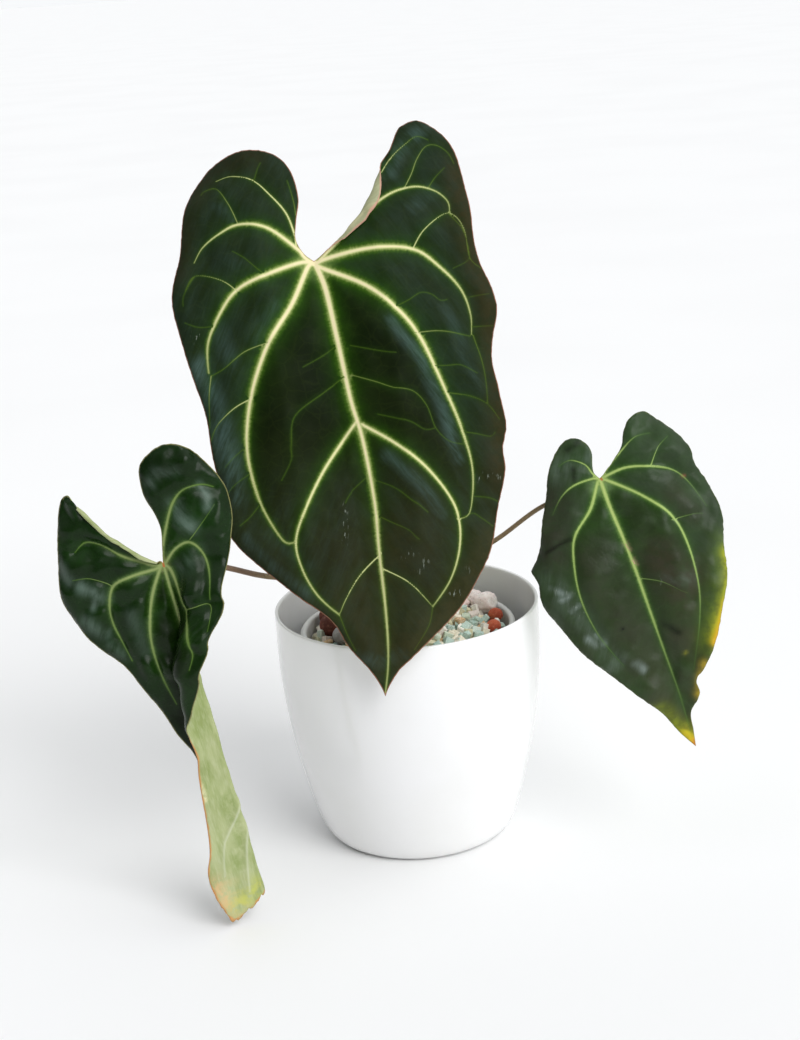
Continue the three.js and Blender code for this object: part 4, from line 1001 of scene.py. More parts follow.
def shut_blade(name, leaf, middle, faces, half, rib):
    """A closed mesh from a blade's middle: upper face, under face with its ribs, and cut edge."""
    normal = point_normals(middle, faces)
    upper = middle + normal * half[:, None]
    lower = middle - normal * (half + rib * RIB_HEIGHT)[:, None]
    count = len(middle)
    edges = np.vstack([faces[:, [0, 1]], faces[:, [1, 2]], faces[:, [2, 0]]])
    known = {(a, b) for a, b in edges.tolist()}
    border = sorted((a, b) for a, b in known if (b, a) not in known)
    rim = [(b, a, a + count, b + count) for a, b in border]
    under = [(a + count, c + count, b + count) for a, b, c in faces.tolist()]
    turn = np.array(leaf_frame(leaf))
    world = np.vstack([upper, lower]) @ turn[:3, :3].T + turn[:3, 3]
    mesh = bpy.data.meshes.new(name)
    mesh.from_pydata((world * MM).tolist(), [], faces.tolist() + under + rim)
    kinds = [0] * len(faces) + [1] * len(under) + [2] * len(rim)
    return mesh, kinds


def stain_and_shade_values(stains_and_shade, flat):
    """The colour and cover of the stains and painted shade patches at each point, later ones over earlier
    ones.
    """
    values = np.zeros((len(flat), 4))
    for code, path, reach, strength in stains_and_shade:
        cover = spread([(path, reach, strength)], flat)[:, None]
        values[:, :3] = values[:, :3] * (1 - cover) + np.array(colour(code)[:3]) * cover
        values[:, 3:] = values[:, 3:] + cover * (1 - values[:, 3:])
    values[:, :3] /= np.maximum(values[:, 3:], 1e-4)
    return values


def leaf_piece(name, leaf, *finishes):
    """Grows one blade as a closed mesh, with what its finishes read stored at its points."""
    trace(leaf)
    flat, faces = flat_blade(leaf)
    place = np.column_stack(curled(leaf, flat)[:2])
    values, rib, groove = vein_marks(leaf, place)
    to_edge = Nearness(leaf["edge"], flat).distance
    relief = blade_relief(leaf, flat, values["vein"], groove, to_edge)
    middle = blade_points(leaf, flat, relief)
    half = EDGE_HALF + (BLADE_THICKNESS / 2 - EDGE_HALF) * np.minimum(1, to_edge / FULL_AT)
    rib = rib * np.minimum(1, to_edge / RIB_FULL_AT)
    mesh, kinds = shut_blade(name, leaf, middle, faces, half, rib)
    piece = new_object(name, mesh, *finishes)
    mesh.polygons.foreach_set("material_index", kinds)
    mesh.shade_smooth()
    values["edge"] = to_edge
    # Where the painted sheen and highlights lie, and the scuffs, some of them painted highlight flecks.
    values["bloom"] = spread(leaf["bloom"], flat)
    values["scuff_and_highlight"] = spread(leaf["scuffs_and_highlights"], flat)
    values["middle"] = middle_zone(leaf, place)
    for key, value in values.items():
        made = mesh.attributes.new(key, "FLOAT", "POINT")
        made.data.foreach_set("value", np.tile(value, 2).astype(np.float32))
    # Stains, with some dark patches of painted shade on the glossy leaf.
    made = mesh.attributes.new("stain", "FLOAT_COLOR", "POINT")
    stains_and_shade = np.tile(stain_and_shade_values(leaf["stains_and_shade"], flat), (2, 1))
    made.data.foreach_set("color", stains_and_shade.astype(np.float32).ravel())
    layer = mesh.uv_layers.new(name="flat_blade")
    corner_points = np.zeros(len(mesh.loops), np.int32)
    mesh.loops.foreach_get("vertex_index", corner_points)
    uv = np.tile(flat / UV_SIZE + UV_AT, (2, 1))[corner_points]
    layer.data.foreach_set("uv", uv.astype(np.float32).ravel())
    return piece


def middle_zone(leaf, points):
    """1 between the midrib and the first side veins, and 0 outside them."""
    left, right = (np.array(leaf["veins"][k][2], float) for k in leaf["zone_veins"])
    polygon = np.vstack([left, right[::-1]])
    deep = Nearness(np.vstack([polygon, polygon[:1]]), points).distance
    zone = np.where(inside(polygon, points), np.clip(deep / 2 + 0.5, 0, 1), np.clip(0.5 - deep / 2, 0, 1))
    return zone * np.clip((points[:, 1] - min(left[-1, 1], right[-1, 1])) / 60, 0, 1)


def leaf_flat(tree):
    return add(tree, "ShaderNodeUVMap", uv_map="flat_blade").outputs[0]


def tilted(tree, where, degrees):
    """A pattern's coordinates turned so that its length runs at this angle to the leaf's x."""
    turn = (0, 0, math.radians(90 - degrees))
    return add(tree, "ShaderNodeMapping", {"Vector": where, "Rotation": turn}).outputs[0]


def stretched(tree, where, *amounts):
    """A pattern's coordinates with each axis made finer by its amount."""
    return vector(tree, "MULTIPLY", where, amounts)


def lower_end(tree, flat, y, blend=8):
    """0 on the blade above this y in millimetres, and 1 below it, with a soft change between."""
    height = add(tree, "ShaderNodeSeparateXYZ", {"Vector": flat}).outputs["Y"]
    start, end = ((y + side * blend) / UV_SIZE + UV_AT[1] for side in (1, -1))
    return remapped(tree, height, start, end)


def frayed(tree, border, spread):
    """The distance to a vein's border, roughened by fine spurs that stand out across the vein."""
    along = number(tree, "MULTIPLY", stored(tree, "run"), 0.62)
    across = number(tree, "MULTIPLY", border, 0.22)
    place = add(tree, "ShaderNodeCombineXYZ", {"X": along, "Y": across}).outputs[0]
    spurs = number(tree, "SUBTRACT", noise(tree, place, 1, 4, 0.7), 0.5)
    return number(tree, "MULTIPLY_ADD", spurs, spread, border)


def blade_ground(tree, flat, bent, looks):
    """Between the veins: darker in the middle zone, olive at the lower end, clouded and netted."""
    dark = mixed(tree, stored(tree, "middle"), looks["outer"], looks["inner"])
    low = mixed(tree, lower_end(tree, flat, looks["olive_below"], 60), dark, looks["olive"])
    cloud = remapped(tree, noise(tree, flat, 13, 4, 0.6), 0.42, 0.68, 0, looks["clouding"])
    patchy = mixed(tree, cloud, low, looks["cloud"])
    edges = cells(tree, bent, looks["net_scale"], "DISTANCE_TO_EDGE")
    net = remapped(tree, edges, 0.07, 0.0, 0, looks["net"])
    return mixed(tree, net, patchy, looks["net_colour"])


def with_painted_sheen(tree, flat, ground, looks):
    """Lays on the painted sheen and highlights, in fine strokes that slant down and away from the midrib."""
    spot = add(tree, "ShaderNodeSeparateXYZ", {"Vector": flat}).outputs
    side = number(tree, "ABSOLUTE", number(tree, "SUBTRACT", spot["X"], UV_AT[0]))
    halved = add(tree, "ShaderNodeCombineXYZ", {"X": side, "Y": spot["Y"]}).outputs[0]
    slanted = tilted(tree, halved, -60)
    fine = noise(tree, stretched(tree, slanted, 380, 26, 1), 1, 4, 0.65)
    broad = noise(tree, stretched(tree, slanted, 60, 14, 1), 1, 4, 0.6)
    fibres = remapped(tree, fine, 0.25, 0.75, looks["smooth"], 1)
    drift = remapped(tree, broad, 0.3, 0.65, 0.15, 1)
    # A faint painted sheen over the whole outer zone.
    haze = remapped(tree, stored(tree, "middle"), 1, 0, 0, looks["haze"])
    bloom = number(tree, "MAXIMUM", stored(tree, "bloom"), haze)
    return mixed(tree, times(tree, bloom, fibres, drift), ground, looks["bloom"])


def with_veins(tree, flat, ground, looks):
    """Lays on the green glow, the stains with their patches of painted shade, and the pale veins, with frayed
    flanks and a clear core.
    """
    border, width, bright = (stored(tree, name) for name in ("vein", "pale", "bright"))
    uneven = remapped(tree, noise(tree, flat, 60, 3), 0.3, 0.7, 0.75, 1.1)
    glow = times(tree, stored(tree, "glow"), uneven, looks["glow"])
    green = mixed(tree, glow, ground, looks["green"])
    broad = remapped(tree, width, 0.2, 2.0, 0.25, 1)
    scaled = number(tree, "DIVIDE", border, remapped(tree, width, 0.2, 2.2, 0.24, 1))
    near = remapped(tree, frayed(tree, scaled, 3.8), 3.8, -0.4)
    haloed = mixed(tree, times(tree, near, broad, looks["halo"]), green, looks["halo_colour"])
    stain = attribute(tree, "stain").outputs
    patches = remapped(tree, noise(tree, flat, 60, 4, 0.65), 0.35, 0.6, 0.55, 1)
    stained_and_shaded = mixed(tree, times(tree, stain["Alpha"], patches), haloed, stain["Color"])
    size = remapped(tree, width, 0.45, 1.7)
    close = remapped(tree, frayed(tree, scaled, 2.1), 1.8, -0.4)
    flanked = mixed(tree, times(tree, close, size, looks["flank"]), stained_and_shaded, looks["flank_colour"])
    heart = remapped(tree, border, -0.2, -0.9)
    thick = mixed(tree, heart, looks["vein"], looks["heart"])
    ink = mixed(tree, remapped(tree, bright, 0.25, 1.0), looks["thin_vein"], thick)
    core = remapped(tree, frayed(tree, scaled, 0.7), 0.4, -0.4)
    clear = times(tree, core, remapped(tree, bright, 0.1, 0.9, looks["faint"], 1))
    veined = mixed(tree, clear, flanked, ink)
    return mixed(tree, remapped(tree, stain["Alpha"], 0.82, 0.95), veined, stain["Color"])


def with_wear_and_highlights(tree, flat, ground, looks):
    """Lays on the scratches of the scuffed places, painted highlight flecks on the dull leaf, and the tinted
    margin.
    """
    flecks = stretched(tree, tilted(tree, flat, 75), 300, 70, 1)
    scratch_and_highlight_streaks = remapped(tree, noise(tree, flecks, 1, 3, 0.6), 0.58, 0.66, 0, 0.8)
    # Scratches, and on the dull leaf painted highlight flecks, in a pale grey-green.
    scuffed_and_highlit = mixed(tree, times(tree, stored(tree, "scuff_and_highlight"), scratch_and_highlight_streaks), ground, "#a3ada0")
    margin = remapped(tree, stored(tree, "edge"), 0.75, 0.2, 0, looks["margin_strength"])
    return mixed(tree, margin, scuffed_and_highlit, looks["margin"])


def upper_finish(name, looks):
    """The upper face: dark cells with painted sheen and highlights, pale veins in a green glow, stains and
    painted shade, scuffs and painted highlight flecks, and a margin.
    """
    constants = {"Roughness": looks["roughness"], "Specular_IOR_Level": looks["specular"]}
    material, tree, shader = new_finish(name, **constants)
    flat = leaf_flat(tree)
    wander = noise(tree, flat, 40, 2, output="Color")
    bent = vector(tree, "MULTIPLY_ADD", wander, (0.012, 0.012, 0), flat)
    tone = blade_ground(tree, flat, bent, looks)
    for layer in (with_painted_sheen, with_veins, with_wear_and_highlights):
        tone = layer(tree, flat, tone, looks)
    painted(tree, shader, tone)
    crease = remapped(tree, cells(tree, bent, looks["net_scale"] * 2.1, "DISTANCE_TO_EDGE"), 0.0, 0.25)
    relief = number(tree, "MULTIPLY_ADD", noise(tree, flat, 900, 2), 0.25, crease)
    bumped(tree, shader, relief, 0.0003, looks["bump"])
    least, most = looks["roughness"] - 0.05, looks["roughness"] + 0.06
    sheen = remapped(tree, noise(tree, flat, 35, 3), 0.3, 0.7, least, most)
    tree.links.new(sheen, shader.inputs["Roughness"])
    return material


def under_finish(name, looks):
    """The pale underside: a matt green with lighter ribs, streaks along the leaf and warm edges."""
    material, tree, shader = new_finish(name, Roughness=0.55, Specular_IOR_Level=0.25)
    flat = leaf_flat(tree)
    streaks = remapped(tree, noise(tree, stretched(tree, flat, 38, 9, 1), 1, 4, 0.6), 0.4, 0.68)
    base = mixed(tree, streaks, looks["under"], looks["under_dark"])
    fine = stretched(tree, flat, 420, 60, 1)
    fibres = remapped(tree, noise(tree, fine, 1, 3, 0.6), 0.45, 0.7, 0, 0.35)
    mottled = mixed(tree, fibres, base, looks["under_light"])
    stain = attribute(tree, "stain").outputs
    worn = remapped(tree, noise(tree, flat, 60, 4, 0.7), 0.35, 0.6)
    cover = times(tree, stain["Alpha"], worn, looks["under_stain"])
    stained_and_shaded = mixed(tree, cover, mottled, stain["Color"])
    vein = remapped(tree, stored(tree, "vein"), 0.9, -0.7, 0, 0.6)
    veined = mixed(tree, vein, stained_and_shaded, looks["under_vein"])
    uneven = number(tree, "MULTIPLY_ADD", noise(tree, flat, 50, 3), -2.4, stored(tree, "edge"))
    near_edge = remapped(tree, uneven, 0.1, -0.9, 0, 0.9)
    warm = times(tree, near_edge, lower_end(tree, flat, looks["warm_below"]))
    painted(tree, shader, mixed(tree, warm, veined, looks["under_margin"]))
    bumped(tree, shader, noise(tree, fine, 1, 3), 0.0002, 0.35)
    return material


def rim_finish(name, looks):
    """The blade's cut edge: one tone along the lobes and a warmer one along its lower end."""
    material, tree, shader = new_finish(name, Roughness=0.5)
    flat = leaf_flat(tree)
    warm = lower_end(tree, flat, looks["warm_below"])
    along = mixed(tree, warm, looks["rim"], looks["under_margin"])
    patches = remapped(tree, noise(tree, flat, 45, 3), 0.42, 0.62)
    painted(tree, shader, mixed(tree, patches, along, "#5d4a30"))
    return material


# What the three leaves' finishes need: velvet, dull and glossy.
BLADE_LOOKS = {
    "roughness": (0.55, 0.38, 0.27), "specular": (0.05, 0.14, 0.14), "clouding": (0.45, 0.6, 0.7),
    "bump": (0.1, 0.12, 0.12), "net_scale": (46, 40, 40), "net": (0.06, 0.05, 0.05),
    "outer": ("#18240f", "#2a3a20", "#0f2207"), "inner": ("#0e1706", "#25331a", "#0e1706"),
    "cloud": ("#1f2a10", "#2f4822", "#16330b"), "net_colour": ("#3f4d1c", "#4c6038", "#2f4a20"),
    "olive": ("#232510", "#33391f", "#141c0b"), "olive_below": (-130, -100, -70),
    # The outer zone's faint painted sheen, and the colour of the painted sheen and highlights.
    "haze": (0.13, 0.05, 0.02), "smooth": (0.45, 0.7, 0.8), "bloom": ("#4c625e", "#87958f", "#5f7266"),
    "green": ("#2c540a", "#2a5212", "#1e3f08"), "glow": (1.0, 0.8, 0.7), "halo": (0.85, 0.65, 0.5),
    "halo_colour": ("#4a6b1e", "#3f5f28", "#38531f"), "flank": (0.85, 0.8, 0.7),
    "flank_colour": ("#9fac66", "#708f48", "#57703c"), "thin_vein": ("#5c7420", "#54733a", "#567530"),
    "vein": ("#cdd192", "#9fb868", "#788a50"), "heart": ("#eee2b4", "#b6c879", "#8d9c62"),
    "faint": (0.25, 0.2, 0.6), "margin": ("#ab7a64", "#6c7240", "#a5a06a"),
    "margin_strength": (0.8, 0.4, 0.6), "under": ("#9fa27e", "#9fb377", "#aab282"),
    "under_dark": ("#8c9069", "#7c9456", "#8a985c"), "under_light": ("#b3b692", "#b9c493", "#bec3a0"),
    "under_vein": ("#c9c49c", "#cdd3a2", "#c6cbb0"), "under_margin": ("#c99a84", "#b0a060", "#c98f55"),
    "under_stain": (0.0, 0.6, 1.0), "warm_below": (200, -110, -95),
    "rim": ("#cc9c85", "#6f7a3c", "#9aa468"),
}


def leaves():
    sides = {"center": "velvet", "right": "dull", "left": "glossy"}
    for column, (side, kind) in enumerate(sides.items()):
        looks = {key: row[column] for key, row in BLADE_LOOKS.items()}
        finishes = [
            upper_finish(f"{kind}_leaf_upper", looks),
            under_finish(f"{kind}_leaf_underside", looks),
            rim_finish(f"{kind}_leaf_rim", looks),
        ]
        leaf = {**LEAVES[side], **LOOKS[side]}
        settle(leaf_piece(f"{kind}_leaf", leaf, *finishes), f"leaf_{kind}", f"leaf_{side}")


def turned_growth():
    """Sweeps a profile, given as distance past the ring and depth, round a ring and closes its poles."""
    tree, given, result = new_growth("turned shell", {"Ring radius": 0.05, "Sides": 96})
    sockets = {"Radius": given["Ring radius"], "Resolution": given["Sides"]}
    ring = add(tree, "GeometryNodeCurvePrimitiveCircle", sockets)
    profile = add(tree, "GeometryNodeMeshToCurve", {"Mesh": given["Geometry"]})
    sockets = {"Curve": ring.outputs[0], "Profile Curve": profile.outputs[0]}
    swept = add(tree, "GeometryNodeCurveToMesh", sockets)
    sockets = {"Geometry": swept.outputs[0], "Distance": 0.00002}
    closed = add(tree, "GeometryNodeMergeByDistance", sockets)
    return ended(tree, given, result, closed.outputs[0])


def turned(name, profile, sides, growth, finish):
    """A turned piece from a profile of radius and height pairs in millimetres, faces outwards."""
    ring = 50
    base = thread([(radius - ring, -height, 0) for radius, height in profile])
    piece = grown(name, growth, base, finish, {"Ring radius": ring * MM, "Sides": sides})
    outwards(piece.data)
    return piece


def outwards(mesh):
    """Joins doubled points and points all faces outwards."""
    work = bmesh.new()
    work.from_mesh(mesh)
    bmesh.ops.remove_doubles(work, verts=work.verts, dist=0.00001)
    bmesh.ops.dissolve_degenerate(work, edges=work.edges, dist=0.00001)
    bmesh.ops.recalc_face_normals(work, faces=work.faces)
    work.to_mesh(mesh)
    work.free()


def arc(centre, radius, start, end, steps=6):
    """Points on an arc, angles in degrees."""
    angles = np.radians(np.linspace(start, end, steps + 1))
    return [(centre[0] + radius * math.cos(a), centre[1] + radius * math.sin(a)) for a in angles]


def outer_pot(growth):
    top_radius, top = POT_OUTLINE[-1]
    half = POT_WALL / 2
    outside = [tuple(point) for point in smooth_path(POT_OUTLINE, 3)]
    inside_wall = [(r - POT_WALL, z) for r, z in reversed(outside) if POT_FLOOR + 4 < z < top - half]
    foot = inside_wall[-1][0] - 3
    profile = [(0, 0.6), (46, 0.6), (47.5, 0)] + outside[:-1]
    profile += arc((top_radius - half, top - half), half, 0, 180)
    profile += inside_wall + arc((foot, POT_FLOOR + 4), 4, 0, -90) + [(0, POT_FLOOR)]
    constants = {"Roughness": 0.16, "Coat_Weight": 0.3, "Coat_Roughness": 0.06}
    material, tree, shader = new_finish("white_gloss_plastic", **constants)
    where = object_place(tree)
    painted(tree, shader, blotched(tree, where, 9, 0.4, 0.7, "#f6f6f7", "#f1f1f0"))
    specks = remapped(tree, noise(tree, where, 160, 4, 0.6), 0.35, 0.75, 0.13, 0.22)
    tree.links.new(specks, shader.inputs["Roughness"])
    bumped(tree, shader, noise(tree, where, 45, 3), 0.0002, 0.12)
    settle(turned("cover_pot", profile, POT_SIDES, growth, material), "outer_pot", "outer_pot")


def liner_radius(z):
    taper = (LINER_TOP_RADIUS - LINER_FOOT_RADIUS) / (LINER_TOP - LINER_BASE)
    return LINER_FOOT_RADIUS + taper * (z - LINER_BASE)


def inner_pot(growth):
    rim_foot = LINER_TOP - LINER_RIM_DEPTH
    bore = liner_radius(LINER_TOP) - LINER_WALL
    floor = LINER_BASE + LINER_WALL
    roll = (LINER_RIM_RADIUS - bore) / 2
    profile = [(0, LINER_BASE)] + arc((LINER_FOOT_RADIUS - 1.5, LINER_BASE + 1.5), 1.5, -90, 0)
    profile += [(liner_radius(rim_foot), rim_foot), (LINER_RIM_RADIUS - 0.6, rim_foot)]
    profile += [(LINER_RIM_RADIUS, rim_foot + 0.8)]
    profile += arc((LINER_RIM_RADIUS - roll, LINER_TOP - roll), roll, 0, 180, 10)
    profile += [(bore, LINER_TOP - 2 * roll)]
    profile += [(liner_radius(floor + 1) - LINER_WALL, floor + 1), (0, floor)]
    material, tree, shader = new_finish("pale_grey_plastic", Roughness=0.38)
    where = object_place(tree)
    painted(tree, shader, blotched(tree, where, 30, 0.4, 0.7, "#d9dad9", "#c6c8c7", 3))
    bumped(tree, shader, noise(tree, where, 300, 3), 0.0002, 0.15)
    piece = turned("grower_pot", profile, LINER_SIDES, growth, material)
    drill_drains(piece)
    settle(piece, "inner_pot", "inner_pot")


def drill_drains(piece):
    """Cuts the drain holes through the liner's floor."""
    work = bmesh.new()
    radius = DRAIN_RADIUS * MM
    size = {"segments": 24, "radius1": radius, "radius2": radius, "depth": DRILL_LENGTH * MM}
    for i in range(DRAIN_COUNT):
        angle = 2 * math.pi * i / DRAIN_COUNT
        place = Vector((DRAIN_CIRCLE * math.cos(angle), DRAIN_CIRCLE * math.sin(angle), LINER_BASE)) * MM
        bmesh.ops.create_cone(work, cap_ends=True, matrix=Matrix.Translation(place), **size)
    drills = new_object("drills", finished(work, "drills"))
    cut = piece.modifiers.new("drains", "BOOLEAN")
    cut.object = drills
    cut.solver = "EXACT"
    result = as_built(piece)
    piece.modifiers.remove(cut)
    piece.data = result
    bpy.data.objects.remove(drills)


def mix_height(x, y):
    """Height of the mix's surface in millimetres: a low mound that leans up towards the back right."""
    rise = max(0, 1 - (x * x + y * y) / MIX_RADIUS**2)
    return MIX_EDGE_HEIGHT + MIX_MOUND * rise + MIX_LEAN * (x * 0.8 + y * 0.6) * math.sqrt(rise)


def mix_body(growth):
    """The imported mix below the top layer: a closed body with a domed top."""
    profile = [(0, MIX_FOOT), (liner_radius(MIX_FOOT) - LINER_WALL - 2, MIX_FOOT)]
    profile += [(liner_radius(z) - LINER_WALL - 0.4, z) for z in (7, 60, MIX_EDGE_HEIGHT - 3)]
    profile += [(r, MIX_EDGE_HEIGHT - 2) for r in (56, 48, 40, 32, 24, 16, 8, 0)]
    piece = turned("mix_body", profile, MIX_SIDES, growth, ground_finish())
    for vertex in piece.data.vertices:
        if vertex.co.z > (MIX_EDGE_HEIGHT - 2.5) * MM:
            vertex.co.z = (mix_height(vertex.co.x / MM, vertex.co.y / MM) - 2) * MM
    return piece


def mix_ground():
    """The surface that chips lie on, with room kept free where stones and the crown stand."""
    work = bmesh.new()
    bmesh.ops.create_grid(work, x_segments=60, y_segments=60, size=MIX_RADIUS * MM)
    radius = (MIX_RADIUS - 2.5) * MM
    outside = [vertex for vertex in work.verts if vertex.co.xy.length > radius]
    bmesh.ops.delete(work, geom=outside, context="VERTS")
    free = work.verts.layers.float.new("free")
    for vertex in work.verts:
        x, y = vertex.co.x / MM, vertex.co.y / MM
        vertex.co.z = mix_height(x, y) * MM
        taken = math.hypot(x - CROWN_AT[0], y - CROWN_AT[1]) < CROWN_ROOM
        for (cx, cy, _), (hx, hy, _) in STONES.values():
            taken = taken or math.hypot((x - cx) / hx, (y - cy) / hy) < STONE_ROOM
        vertex[free] = 0.0 if taken else 1.0
    return finished(work, "mix_ground")


def chip_shapes(count):
    """Angular chips with worn corners: every other one a splinter, and the rest blocky."""
    random = np.random.default_rng(MIX_SEED)
    box = bpy.data.collections.new("chip_shapes")
    corners = np.array([(x, y, z) for x in (-1, 1) for y in (-1, 1) for z in (-1, 1)])
    for i in range(count):
        work = bmesh.new()
        if i % 2:
            squash = np.array([1, random.uniform(0.45, 0.6), random.uniform(0.36, 0.5)])
            points = corners * squash * random.uniform(0.72, 1, (8, 3))
            points = np.vstack([points * (1, 1, 0.7), points * (0.9, 0.8, 1)])
        else:
            squash = np.array([0.72, random.uniform(0.55, 0.68), random.uniform(0.42, 0.6)])
            points = corners * squash * random.uniform(0.74, 1, (8, 3))
            points = np.vstack([points * (1, 1, 0.75), points * (0.82, 0.86, 1)])
        for point in points:
            work.verts.new(point)
        bmesh.ops.convex_hull(work, input=work.verts)
        bmesh.ops.delete(work, geom=[v for v in work.verts if not v.link_faces], context="VERTS")
        name = f"chip_shape_{i}"
        box.objects.link(bpy.data.objects.new(name, finished(work, name)))
    return box


def chance(tree, seed, kind="FLOAT", **limits):
    """A value drawn by chance for each chip."""
    return add(tree, "FunctionNodeRandomValue", {"Seed": seed, **limits}, data_type=kind)


def scatter_growth(shapes):
    """Strews shapes over a surface, each turned and sized by chance, with a random tone stored."""
    sizes = {"Density": 1000.0, "Spacing": 0.003, "Smallest": 0.002, "Largest": 0.004}
    sizes.update({"Rise": 0.001, "Seed": 1})
    tree, given, result = new_growth("strewn chips", sizes)
    free = add(tree, "GeometryNodeInputNamedAttribute", {"Name": "free"}, data_type="FLOAT").outputs[0]
    sockets = {"Mesh": given["Geometry"], "Distance Min": given["Spacing"], "Density Max": given["Density"]}
    sockets.update({"Density Factor": free, "Seed": given["Seed"]})
    strewn = add(tree, "GeometryNodeDistributePointsOnFaces", sockets, distribute_method="POISSON")
    lift = times(tree, chance(tree, 4).outputs[1], given["Rise"])
    offset = add(tree, "ShaderNodeCombineXYZ", {"Z": lift}).outputs[0]
    raised = add(tree, "GeometryNodeSetPosition", {"Geometry": strewn.outputs[0], "Offset": offset})
    turn = chance(tree, 5, "FLOAT_VECTOR", Max=(6.283, 6.283, 6.283))
    scale = chance(tree, 6)
    for socket, value in ((2, given["Smallest"]), (3, given["Largest"])):
        tree.links.new(value, scale.inputs[socket])
    pool = add(tree, "GeometryNodeCollectionInfo", {"Collection": shapes, "Separate Children": True})
    sockets = {"Points": raised.outputs[0], "Instance": pool.outputs[0], "Pick Instance": True}
    sockets.update({"Rotation": turn.outputs[0], "Scale": scale.outputs[1]})
    placed = add(tree, "GeometryNodeInstanceOnPoints", sockets)
    sockets = {"Geometry": placed.outputs[0], "Name": "tone", "Value": chance(tree, 7).outputs[1]}
    settings = {"domain": "INSTANCE", "data_type": "FLOAT"}
    toned = add(tree, "GeometryNodeStoreNamedAttribute", sockets, **settings)
    return ended(tree, given, result, toned.outputs[0], smooth=False)


def chip_finish():
    """Mineral chips: each chip one of the mix's colours, with a dusty, pitted surface."""
    material, tree, shader = new_finish("mineral_chips", Roughness=0.85)
    where = object_place(tree)
    picked = add(tree, "ShaderNodeValToRGB", {"Fac": stored(tree, "tone")})
    ramp = picked.color_ramp
    ramp.interpolation = "CONSTANT"
    for i, code in enumerate(CHIP_TONES):
        stop = ramp.elements[i] if i < 2 else ramp.elements.new(i / len(CHIP_TONES))
        stop.position = i / len(CHIP_TONES)
        stop.color = colour(code)
    dust = remapped(tree, noise(tree, where, 900, 4, 0.7), 0.4, 0.72, 0, 0.45)
    dusty = mixed(tree, dust, picked.outputs[0], "#efe9de")
    pits = remapped(tree, cells(tree, where, 1400), 0.0, 0.3)
    painted(tree, shader, mixed(tree, pits, mixed(tree, 0.3, dusty, "#6a5f50"), dusty))
    bumped(tree, shader, noise(tree, where, 1300, 4, 0.7), 0.0006, 0.7)
    return material


def ground_finish():
    material, tree, shader = new_finish("packed_mix", Roughness=0.95)
    grain = cells(tree, object_place(tree), 260)
    painted(tree, shader, mixed(tree, remapped(tree, grain, 0.1, 0.7), "#a59a86", "#6d6557"))
    bumped(tree, shader, grain, 0.002, 0.8)
    return material


def mineral_mix(growth):
    """The mix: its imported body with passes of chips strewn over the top, as one piece."""
    strewing = scatter_growth(chip_shapes(CHIP_SHAPES))
    chips = chip_finish()
    layers = [mix_body(growth)]
    for index, (rise, spacing, smallest, largest) in enumerate(CHIP_PASSES):
        ground = mix_ground()
        for vertex in ground.vertices:
            vertex.co.z += rise * MM
        sizes = {"Density": CHIP_DENSITY, "Spacing": spacing, "Smallest": smallest, "Largest": largest}
        sizes.update({"Rise": CHIP_RISE, "Seed": MIX_SEED + index})
        layers.append(grown(f"chips_{index}", strewing, ground, chips, sizes))
    settle(joined("mineral_mix", layers), "substrate", "substrate")


def joined(name, pieces):
    """Joins several pieces in one, with their materials kept."""
    with bpy.context.temp_override(active_object=pieces[0], selected_editable_objects=pieces):
        bpy.ops.object.join()
    pieces[0].name = name
    pieces[0].data.name = name
    return pieces[0]


def stone_growth():
    """A ball drawn out to its half sizes, with lumps and finer pits along its normals."""
    sizes = {"Width": 0.01, "Depth": 0.01, "Height": 0.01, "Lump size": 90.0, "Lump height": 0.0005}
    sizes.update({"Pit size": 500.0, "Pit depth": 0.0002, "Fineness": 5})
    tree, given, result = new_growth("lumpy stone", sizes)
    ball = add(tree, "GeometryNodeMeshIcoSphere", {"Radius": 1.0, "Subdivisions": given["Fineness"]})
    sockets = {"X": given["Width"], "Y": given["Depth"], "Z": given["Height"]}
    scale = add(tree, "ShaderNodeCombineXYZ", sockets).outputs[0]
    drawn = add(tree, "GeometryNodeTransform", {"Geometry": ball.outputs[0], "Scale": scale})
    first = add(tree, "GeometryNodeMeshToPoints", {"Mesh": given["Geometry"]})
    sockets = {"Points": first.outputs[0], "Instance": drawn.outputs[0]}
    placed = add(tree, "GeometryNodeInstanceOnPoints", sockets)
    real = add(tree, "GeometryNodeRealizeInstances", {"Geometry": placed.outputs[0]})
    where = add(tree, "GeometryNodeInputPosition").outputs[0]
    normal = add(tree, "GeometryNodeInputNormal").outputs[0]
    lump = number(tree, "SUBTRACT", noise(tree, where, given["Lump size"], 2), 0.5)
    pit = number(tree, "SUBTRACT", noise(tree, where, given["Pit size"], 3, 0.6), 0.5)
    rise = times(tree, lump, given["Lump height"])
    total = number(tree, "MULTIPLY_ADD", pit, given["Pit depth"], rise)
    offset = add(tree, "ShaderNodeVectorMath", {0: normal, "Scale": total}, operation="SCALE").outputs[0]
    moved = add(tree, "GeometryNodeSetPosition", {"Geometry": real.outputs[0], "Offset": offset})
    return ended(tree, given, result, moved.outputs[0])


def stone_finish(name, base, patch, dust, roughness, pit_scale):
    """Stone or fired clay: two tones in soft patches, pale dust and small dark pores."""
    material, tree, shader = new_finish(name, Roughness=roughness)
    where = object_place(tree)
    tone = blotched(tree, where, 130, 0.4, 0.65, base, patch, 4, 0.6)
    dusting = remapped(tree, noise(tree, where, 420, 4, 0.7), 0.5, 0.75, 0, 0.6)
    dusty = mixed(tree, dusting, tone, dust)
    pores = remapped(tree, cells(tree, where, pit_scale), 0.0, 0.3)
    painted(tree, shader, mixed(tree, pores, mixed(tree, 0.55, dusty, "#2b211b"), dusty))
    bumped(tree, shader, number(tree, "ADD", noise(tree, where, 700, 4, 0.7), pores), 0.0004, 0.6)
    return material


